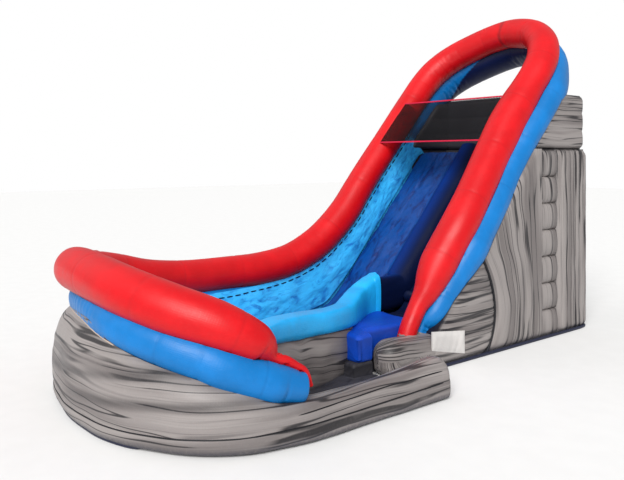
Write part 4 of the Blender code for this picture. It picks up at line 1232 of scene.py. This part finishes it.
def add_side_walls():
    """Crease, front, middle, baffle and rear panels of both tower sides."""
    # Insides: on the near side the shaded copy of the lane blue, painted shade; on the far side the liner's
    # bright copy, painted light
    for side, sign, inner, low, inside in (("near", 1.0, WALL_INNER, near_front, CLIMB_SHADED_VINYL),
                                           ("far", -1.0, FAR_WALL_INNER, far_front, LINER_LIT_VINYL)):
        depths = (sign * WALL_OUTER, sign * inner)
        name = "side_wall_%s_" % side
        crease_x = np.full(len(CREASE_Y), sign * (WALL_OUTER - CREASE_INSET))
        # A dark welt along the crease: its seam, with the crease's painted shade
        piping(name + "crease", smooth_path(np.stack((crease_x, CREASE_Y, CREASE_Z), axis=1)),
               CREASE_RADIUS, DARK_TAPE, ACROSS)
        chamber(name + "front_panel", MARBLED, name + "front", (0.0, CREASE_TOP - 0.01, 130),
                (low, crease_y), depths, ON_SIDE, [DENSE_MARBLE, inside], (0.20, 0.10), 64, pleats,
                crosswise=True, rounded=(True, True, True, False), press=TUBES, dark=pleat_shade,
                seam=1.0, seam_shade_reach=0.03)
        chamber(name + "middle_panel", MARBLED, name + "middle", (0.0, BODY_TOP, 110),
                (middle_front, COLUMN_FRONT), depths, ON_SIDE, [MARBLE, inside], (0.20, 0.10), 56,
                soft_relief(44), rounded=(True, False, True, False), press=TUBES,
                streak_line=middle_streaks)
        # The baffle and rear panels' insides take the dark grey: painted shade
        chamber(name + "baffle_panel", MARBLED, name + "column", (0.0, BODY_TOP, 170),
                (COLUMN_FRONT, BAFFLE_REAR), depths, ON_SIDE, [MARBLE, SHADED_INSIDE_VINYL], (0.09, 0.06),
                30, baffle_relief, seam=1.0, seam_shade_reach=0.028)
        chamber(name + "rear_panel", MARBLED, name + "column", (0.0, BODY_TOP, 90),
                (COLUMN_MIDDLE, TOWER_REAR), depths, ON_SIDE, [MARBLE, SHADED_INSIDE_VINYL], (0.16, 0.12),
                96, flutes(FLUTE_PITCH, 0.018, 45))


def add_toe():
    """The low bolster that closes the near side wall's front end."""
    spots = np.linspace(TOE_FRONT + 0.02, TOE_REAR, 60)
    angle = turns(48)
    across, rise = boxy(angle, 2.8)
    scale = end_round(spots, spots[0], None, 0.26)[:, None]
    top = TOE_TOP + 0.02 * ripple(spots, spots * 0.0, 48, 0.3, 1.2)
    x = (WALL_OUTER + WALL_INNER) / 2 + scale * across * (WALL_OUTER - WALL_INNER - 0.02) / 2
    x = x + 0.006 * ripple(spots[:, None], angle, 49, 0.3, 1.2)
    z = 0.5 * top[:, None] * (1.0 + rise * (0.35 + 0.65 * scale))
    points = np.stack((x, np.broadcast_to(spots[:, None], x.shape), z), axis=-1)
    points = pressed(points, RED_PRESS, BLUE_PRESS)
    toe = skin("side_wall_near_toe", points, [DENSE_MARBLE], ring_uv(points, spots))
    fit(toe, MARBLED, "side_wall_near_front", fill=1.0)


def add_deck_and_rear_walls():
    """The walls round the deck, above the tower's body, and the wall behind the body."""
    # The walls' inner sides take the dark grey: painted shade
    marble_and_shaded_inside = [DENSE_MARBLE, SHADED_INSIDE_VINYL]
    for side, sign in (("near", 1.0), ("far", -1.0)):
        chamber("guard_wall_%s_panel" % side, MARBLED, "guard_wall_" + side,
                (GUARD_FLOOR, GUARD_TOP, 60), (wall_line_y, GUARD_REAR),
                (sign * GUARD_OUTER, sign * GUARD_INNER), ON_SIDE, marble_and_shaded_inside, (0.11, 0.11), 60,
                guard_relief, crosswise=True, both=True, press=TUBES)
    chamber("guard_wall_rear_panel", MARBLED, "guard_wall_rear", (GUARD_FLOOR, GUARD_REAR_TOP, 60),
            (-GUARD_REAR_HALF, GUARD_REAR_HALF), (GUARD_REAR, GUARD_REAR_FRONT), ON_REAR, marble_and_shaded_inside,
            (0.11, 0.11), 90, guard_relief, crosswise=True, both=True)
    chamber("rear_wall_panel", MARBLED, "rear_wall", (0.0, BODY_TOP, 90),
            (-REAR_WALL_HALF, REAR_WALL_HALF), (TOWER_REAR, REAR_WALL_FRONT), ON_REAR,
            [MARBLE, SHADED_INSIDE_VINYL], (0.16, 0.14), 130, flutes(REAR_FLUTE_PITCH, 0.05, 47))


PATCH_CORNERS = np.array(((-2.560, 0.300), (-1.786, 0.130), (-2.560, 0.593), (-1.786, 0.500)))
PATCH_LENGTH = 0.84
PATCH_HEIGHT = 0.28
FRINGE_LEVEL = 0.026
FRINGE_RADIUS = 0.028
FRINGE_REACH = 0.008


def add_patch():
    """A blank white patch sewn on the near side wall, slightly bulged, with a folded hem."""
    s = np.linspace(0.0, 1.0, 40)[:, None]
    t = np.linspace(0.0, 1.0, 16)[None, :]
    shares = ((1 - s) * (1 - t), s * (1 - t), (1 - s) * t, s * t)
    y, z = (sum(corner * share for corner, share in zip(column, shares)) for column in PATCH_CORNERS.T)
    edge = np.minimum(np.minimum(s, 1.0 - s) * PATCH_LENGTH, np.minimum(t, 1.0 - t) * PATCH_HEIGHT)
    front = (WALL_OUTER + 0.004 + 0.014 * ease(edge / 0.06) + 0.004 * bell((edge - 0.012) / 0.006)
             + 0.002 * ripple(y, z, 81, 0.1, 0.4))
    back = np.full(front.shape, WALL_OUTER - 0.02)
    points = np.concatenate((np.stack((front, y, z), axis=-1),
                             np.stack((back, y, z), axis=-1)[:, ::-1]), axis=1)
    patch = skin("side_wall_near_patch", points, [WHITE_PATCH], ring_uv(points, s[:, 0]))
    fit(patch, MARBLED)


def add_ground_fringe():
    """A navy welt that lies on the ground round the tower's foot."""
    outer = WALL_OUTER + FRINGE_REACH
    rear = TOWER_REAR + FRINGE_REACH
    corners = [np.array((x, y, FRINGE_LEVEL)) for x, y in (
        (outer, TOE_FRONT + 0.35), (outer, rear), (-outer, rear), (-outer, FAR_WALL_END + 0.05))]
    sides = [np.linspace(*pair, 90, endpoint=False) for pair in zip(corners, corners[1:])]
    path = np.concatenate(sides + [corners[-1][None]])
    piping("tower_ground_fringe", smooth_path(path, 30), FRINGE_RADIUS, NAVY_WELT)


add_side_walls()
add_toe()
add_deck_and_rear_walls()
add_patch()
add_ground_fringe()


# Liner down the inner side of the border, from the blue tube to the lane and the pool

LINER_ANGLE = math.radians(150.0)
LINER_INSET = 0.36
LINER_SLOPE_INSET = 0.30
LINER_ROWS = 26
LINER_BACK = 0.04
LINER_STITCH_ROW = 3
LINER_FROM = BLUE.nearest((-1.588, DECK_EDGE - 0.06, 3.57))
LINER_TO = BLUE.nearest((1.35, -7.15, 1.2))
STITCH_PITCH = 0.17
STITCH_LENGTH = 0.12
STITCH_RADIUS = 0.010


def slide_level(y):
    """Height of what lies at the liner's foot: the lane, its run-out, then the pool floor."""
    slope = np.minimum(lane_height(y), DECK_TOP)
    level = np.where(y > RUNOUT_FRONT, RUNOUT_TOP, POOL_FLOOR_TOP)
    return np.maximum(slope, level) + 0.10 * bell(np.abs(slope - level) / 0.35)


def liner_lines():
    """The liner's top line on the blue tube and its foot, at stations along the blue tube."""
    spots = stations(LINER_FROM, LINER_TO, RING_STEP)
    rows, _, side, up = frames(BLUE, spots)
    top = rows[:, :3] + rows[:, 3:] * (math.cos(LINER_ANGLE) * side + math.sin(LINER_ANGLE) * up)
    pooled = ease((-1.9 - rows[:, 1:2]) / 1.6)
    inset = LINER_SLOPE_INSET + (LINER_INSET - LINER_SLOPE_INSET) * pooled
    drop = up * (1.0 - pooled) + UP * pooled
    foot = rows[:, :3] - unit(side * FLAT) * inset
    rise = (slide_level(foot[:, 1]) - foot[:, 2]) / drop[:, 2]
    for _ in range(6):
        reached = foot + drop * rise[:, None]
        rise = rise + (slide_level(reached[:, 1]) - 0.02 - reached[:, 2]) / drop[:, 2] * 0.6
    return spots, top, smooth_path(foot + drop * rise[:, None], 8), side


def stitch_line(name, path):
    """Long dark stitches along a path, each a little rod that is thinner at both ends."""
    reach = run_lengths(path)
    angle = turns(6)
    thick = STITCH_RADIUS * np.sqrt(np.clip(1.0 - np.linspace(-1.0, 1.0, 6) ** 4, 0.15, 1.0))[:, None]
    bars = []
    for start in np.arange(0.02, reach[-1] - STITCH_PITCH, STITCH_PITCH):
        spots = np.linspace(start, start + STITCH_LENGTH, len(thick))
        line = np.stack([np.interp(spots, reach, path[:, axis]) for axis in range(3)], axis=-1)
        ahead = unit(line[-1:] - line[:1])
        side = unit(np.cross(ahead, UP))
        bars.append(rings_round(line, side, np.cross(side, ahead), thick * np.cos(angle),
                                thick * np.sin(angle)))
    made = rods(name, bars, DARK_THREAD)
    made.data.shade_smooth()
    fit(made, "light_blue_vinyl")


def add_liner():
    spots, top, foot, side = liner_lines()
    share = np.linspace(0.0, 1.0, LINER_ROWS)[None, :]
    span = np.linalg.norm(foot - top, axis=1)[:, None]
    face = top[:, None, :] * (1.0 - share[:, :, None]) + foot[:, None, :] * share[:, :, None]
    u = spots[:, None]
    v = share * span
    arc = np.sin(math.pi * share)
    crumple = 0.010 * ripple(u, v * 1.5, 71, 0.25, 0.9) - 0.012 * np.abs(
        ripple(u * 0.5, v * 1.4, 72, 0.10, 0.32)) * share
    face = shifted(face, side, -(0.045 * arc ** 0.8 + crumple * arc ** 0.5))
    face = pressed(face, Pressing(BLUE, 0.010))
    points = np.concatenate((face, face[:, ::-2] + side[:, None, :] * LINER_BACK), axis=1)
    # The liner takes the bright copy of the light blue: painted light
    liner = skin("pool_liner", points, [LINER_LIT_VINYL], ring_uv(points, spots))
    fit(liner, "light_blue_vinyl", fill=0.8)
    stitch_line("liner_stitches", smooth_path(face[:, LINER_STITCH_ROW] - side * 0.008, 4))


add_liner()


# Lanes

LANE_THICKNESS = 0.30
DIVIDER_BODY = 0.30
SLIDE_TURN = 1.1
CLIMB_TURN = 0.25
DIVIDER_TURN = 0.30
SLIDE_SEAMS = (-0.82, -0.34)


def above_path(path, x, lift):
    """Points at a given x and height above a path of (y, z), never below the ground."""
    step = unit(np.gradient(path, axis=0))
    z = np.maximum(0.0, path[:, 1:] - step[:, :1] * lift)
    return np.stack(np.broadcast_arrays(x, path[:, :1] + step[:, 1:] * lift, z), axis=-1)


def add_bed(name, slot, node, path, low_x, high_x, crown, count, seed, wrinkle, material, seams=()):
    """A lane's bed: a sheet of air chambers along a path of (y, z), crowned between its edges."""
    length = run_lengths(path)
    u = length[:, None]
    share = np.linspace(0.0, 1.0, count)[None, :]
    x = low_x + (high_x - low_x) * share
    lift = crown * (1.0 - (2.0 * share - 1.0) ** 4) - crown
    for seam in seams:
        lift = lift - 0.020 * np.exp(-np.abs(x - seam) / 0.03)
    lift = lift - wrinkle * np.abs(ripple(u * 0.6, x, seed, 0.10, 0.42))
    lift = lift + 0.5 * wrinkle * ripple(u, x, seed + 1, 0.5, 1.5)
    points = np.concatenate((above_path(path, x, lift), above_path(path, x[:, ::-3], -LANE_THICKNESS)),
                            axis=1)
    bed = skin(name, points, [material], ring_uv(points, length))
    fit(bed, slot, node, fill=0.95)


def slope_path(foot_z, front_y, turn, step=RING_STEP):
    """From the deck edge down the slope, round a turn and out along the level, as (y, z)."""
    reach = turn * math.tan(SLOPE / 2)
    corner_y = DECK_EDGE + (foot_z - DECK_TOP) / TAN
    level_y = corner_y - reach
    edge = np.array((DECK_EDGE, DECK_TOP))
    leave = np.array((corner_y + reach * COS, foot_z + reach * SIN))
    down = np.linspace(edge, leave, math.ceil(np.linalg.norm(edge - leave) / step))
    angle = SLOPE * (1.0 - np.linspace(0.0, 1.0, max(3, math.ceil(turn * SLOPE / step)))[1:]) - math.pi / 2
    bend = np.stack((level_y + turn * np.cos(angle), foot_z + turn + turn * np.sin(angle)), axis=1)
    out = np.linspace((level_y, foot_z), (front_y, foot_z),
                      max(3, math.ceil((level_y - front_y) / step)))[1:]
    return np.concatenate((down, bend, out))


def add_divider():
    """The beam between the lanes, squared off, with painted shade on the climbing side and at its front
    end.
    """
    path = slope_path(DIVIDER_FOOT_TOP - DIVIDER_RISE, DIVIDER_FRONT, DIVIDER_TURN)
    length = run_lengths(path)
    angle = turns(48)
    across, rise = boxy(angle, 2.6)
    left = blend(DIVIDER_SWELL_X, DIVIDER_MIN_X, (-1.5 - path[:, 0]) / 0.5)[:, None]
    x = (DIVIDER_MAX_X + left) / 2 + across * (DIVIDER_MAX_X - left) / 2
    points = above_path(path, x, (rise * DIVIDER_BODY + DIVIDER_RISE - DIVIDER_BODY)[None, :])
    points[:, :, 0] += 0.004 * ripple(length[:, None], angle, 57, 0.4, 1.5)
    # Painted shade: darker on the climbing side and at the front end
    shaded = np.maximum(0.92 * ease((across + 0.35) / 1.1),
                        0.85 * ease((DIVIDER_FRONT + 0.16 - points[:, :, 1]) / 0.1))
    divider = skin("lane_divider_beam", points, [DIVIDER_VINYL], ring_uv(points, length), crease=shaded)
    fit(divider, "light_blue_vinyl", "lane_divider", fill=1.0)


def add_climb_steps():
    """Half rolls across the climbing lane, gathered at both ends, with a flat strip below."""
    x = np.linspace(DIVIDER_MAX_X + 0.006, WALL_INNER - 0.006, 46)
    ends = np.minimum(x - x[0], x[-1] - x)[:, None]
    scale = np.sqrt(1.0 - np.clip(1.0 - ends / 0.07, 0.0, 1.0) ** 2 * 0.97)
    angle = turns(28)
    for number in range(CLIMB_STEPS):
        gather = 0.004 * np.exp(-ends / 0.06) * np.sin(angle * 9 + number)
        radius = STEP_RADIUS * scale + gather
        along = -(FIRST_STEP + STEP_PITCH * number) + radius * np.cos(angle) * 1.04
        lift = np.maximum(-0.03, radius * np.sin(angle)) + 0.03
        points = on_slope(x[:, None], along, lift)
        # The rolls take the shaded copy of the lane blue: painted shade
        made = skin("climb_roll_%d" % (CLIMB_STEPS - number), points, [CLIMB_SHADED_VINYL], ring_uv(points, x))
        fit(made, "lane_blue_vinyl", "climb_step_%d" % (CLIMB_STEPS - number), fill=1.0)


add_bed("slide_lane_bed", "lane_blue_vinyl", "slide_bed",
        slope_path(RUNOUT_TOP, RUNOUT_FRONT, SLIDE_TURN), -WALL_INNER + CLEAR, DIVIDER_MIN_X - CLEAR,
        0.05, 60, 51, 0.010, LANE_VINYL, SLIDE_SEAMS)
# The climbing lane takes the shaded copy of the lane blue: painted shade
add_bed("climbing_lane_bed", "lane_blue_vinyl", "climb_bed",
        slope_path(CLIMB_FOOT_TOP, CLIMB_FOOT_FRONT, CLIMB_TURN), DIVIDER_MAX_X + CLEAR,
        WALL_INNER - CLEAR, 0.03, 36, 53, 0.005, CLIMB_SHADED_VINYL)
add_divider()
add_climb_steps()


# Floors and mats

STEP_PAD_FRONT = -3.80
STEP_PAD_FOOT = 0.22
POOL_LOW_Y = float(POOL_WALL.rows[:, 1].min())
POOL_MIDDLE = int(np.argmin(POOL_WALL.rows[:, 1]))
UNDER_WALL = 0.1
ENTRANCE_END = SPLASH_PLAN[-1][1]


def nearest_x(rows, y):
    """X of a route's row at a given Y."""
    return float(rows[int(np.argmin(np.abs(rows[:, 1] - y))), 0])


def splash_side(y):
    return nearest_x(SPLASH.rows, y) + 0.02


def pool_low(y):
    return nearest_x(POOL_WALL.rows[:POOL_MIDDLE + 1], y) + UNDER_WALL


def pool_high(y):
    return splash_side(y) if y > ENTRANCE_END else nearest_x(POOL_WALL.rows[POOL_MIDDLE:], y) - UNDER_WALL


def step_high(y):
    return WALL_INNER - CLEAR if y > TOE_FRONT else STEP_NEAR_X


def entrance_low(y):
    return STEP_NEAR_X if y > STEP_FRONT else splash_side(y) + 0.10


def quilt(pitch, depth, seed):
    return lambda along, across, _: (lobes(across, pitch, depth)
                                     + 0.004 * ripple(along, across, seed, 0.15, 0.6)
                                     - 0.008 * np.abs(ripple(along, across, seed + 1, 0.15, 0.6)))


def add_mats():
    inner = (-WALL_INNER, WALL_INNER)
    step_rear = CLIMB_FOOT_FRONT - CLEAR
    for name, slot, node, span, borders, depths, material, edge, count, relief, options in (
            ("pool_floor_mat", "lane_blue_vinyl", "pool_floor",
             (POOL_LOW_Y + 0.05, RUNOUT_FRONT - CLEAR, 100), (pool_low, pool_high),
             (POOL_FLOOR_TOP, 0.0), LINER_LIT_VINYL, (0.16, 0.10), 70, quilt(0.42, 0.035, 61),
             {"fill": 0.95}),
            ("slide_apron_mat", "lane_blue_vinyl", "slide_apron",
             (RUNOUT_FRONT, DIVIDER_FRONT - 0.1, 50), (DIVIDER_MIN_X, splash_side),
             (RUNOUT_TOP, 0.0), LANE_VINYL, (0.05, 0.03), 24, soft_relief(62, 0.003),
             {"fill": 0.95}),
            ("base_air_mat", MARBLED, "base_chamber", (BASE_FRONT, REAR_WALL_FRONT, 60), inner,
             (BASE_THICKNESS, 0.0), MARBLE, (0.12, 0.08), 60, quilt(0.43, 0.03, 63), {"fill": 0.95}),
            ("deck_air_mat", "lane_blue_vinyl", "deck", (DECK_EDGE, REAR_WALL_FRONT, 50), inner,
             (DECK_TOP, DECK_TOP - DECK_THICKNESS), LANE_VINYL, (0.08, 0.06), 60,
             quilt(0.43, 0.025, 64), {"fill": 0.95, "crosswise": True}),
            ("entrance_step_base", "dark_floor_vinyl", "entrance_step",
             (STEP_PAD_FRONT - 0.1, step_rear, 50), (splash_side, step_high),
             (STEP_PAD_FOOT + 0.03, 0.0), MAT_VINYL, (0.06, 0.05), 40, soft_relief(68, 0.004),
             {"fill": 0.9}),
            ("entrance_step_pad", "royal_blue_vinyl", "entrance_step",
             (STEP_PAD_FRONT, step_rear, 70), (splash_side, step_high), (MAT_TOP, STEP_PAD_FOOT),
             ROYAL_VINYL, (0.12, 0.07), 60, soft_relief(65, 0.010),
             {"fill": 0.9, "both": True, "seam": 0.3}),
            ("entrance_floor_mat", "dark_floor_vinyl", "entrance_floor",
             (ENTRANCE_END, TOE_FRONT, 60), (entrance_low, LOW_WALL_X - 0.2),
             (FLOOR_THICKNESS, 0.0), MAT_VINYL, (0.05, 0.04), 40, quilt(0.24, 0.012, 66),
             {"fill": 0.8})):
        chamber(name, slot, node, span, borders, depths, ON_GROUND, [material], edge, count, relief,
                **options)


add_mats()


# Safety net

NET_PITCH = 0.014
STRAND = 0.0034
STRAND_ACROSS = STRAND * np.array(((1.0, 0.0, -1.0, 0.0),))
STRAND_RISE = STRAND * np.array(((0.0, 0.6, 0.0, -0.6),))
ALONG_SLOPE = np.array(((0.0, COS, SIN),))
NET_SAG = 0.035
NET_HALF = 1.3


def net_spot(x, along):
    """Points of the net, which sags a little between the tubes."""
    sag = NET_SAG * (1.0 - (x / NET_HALF) ** 2) * np.sin(
        math.pi * (along - NET_BOTTOM) / (NET_TOP - NET_BOTTOM))
    return on_slope(x, along, AXIS_ABOVE_LANE + NET_ABOVE_AXIS - sag)


def net_edge(along, sign):
    """X where the net meets the red tube on one side."""
    probe = on_slope(0.0, along, AXIS_ABOVE_LANE)
    rows = RED.rows[RED.rows[:, 0] * sign > 0.9]
    row = rows[int(np.argmin(np.linalg.norm(rows[:, 1:3] - probe[1:3], axis=1)))]
    half = math.sqrt(max(0.0, row[3] ** 2 - NET_ABOVE_AXIS ** 2))
    return row[0] - sign * (half - 0.004)


def net_row(along, count):
    return np.linspace(net_edge(along, -1.0), net_edge(along, 1.0), count)


def add_net():
    rows = np.arange(NET_BOTTOM + 0.03, NET_TOP - 0.02, NET_PITCH)
    left = max(net_edge(along, -1.0) for along in rows)
    right = min(net_edge(along, 1.0) for along in rows)
    down = np.linspace(NET_BOTTOM + 0.01, NET_TOP - 0.01, 16)
    paths = [net_spot(net_row(along, 30), along) for along in rows]
    paths += [net_spot(x, down) for x in np.arange(left, right, NET_PITCH)]
    bars = []
    for path in paths:
        side = unit(np.cross(unit(np.gradient(path, axis=0)), SLOPE_NORMAL))
        bars.append(rings_round(path, side, SLOPE_NORMAL[None], STRAND_ACROSS, STRAND_RISE))
    net = rods("safety_net_mesh", bars, NET_BLACK)
    fit(net, "black_net", "safety_net")
    angle = turns(12)
    for name, along in (("upper", NET_TOP), ("lower", NET_BOTTOM)):
        x = net_row(along, 80)
        fold = HEM_RADIUS * (1.0 + 0.08 * np.sin(x * 90)[:, None])
        points = rings_round(net_spot(x, along), ALONG_SLOPE, SLOPE_NORMAL[None],
                             fold * np.cos(angle), HEM_RADIUS * 0.45 * np.sin(angle)[None, :])
        hem = skin("net_hem_%s_band" % name, points, [HEM_RED], ring_uv(points, x))
        fit(hem, "red_hem", "net_hem_" + name)


add_net()


# Stage

FLOOR_HALF = 60.0
FLOOR_LEVEL = -0.001
FLOOR_TONES = ((0.77, 0.77, 0.77, 1.0), (0.79, 0.79, 0.79, 1.0))


def add_floor():
    finish = Finish("studio_floor")
    grain = finish.noise(finish.coordinates("Object"), 3.0, 2.0, 0.5)
    tone = finish.mix(finish.span(grain, 0.2, 0.8), *FLOOR_TONES)
    corners = [(x * FLOOR_HALF, y * FLOOR_HALF, FLOOR_LEVEL)
               for x, y in ((-1, -1), (1, -1), (1, 1), (-1, 1))]
    piece("studio_floor", corners, [(0, 1, 2, 3)], [finish.looks(tone, 0.9, None, None)])


add_floor()
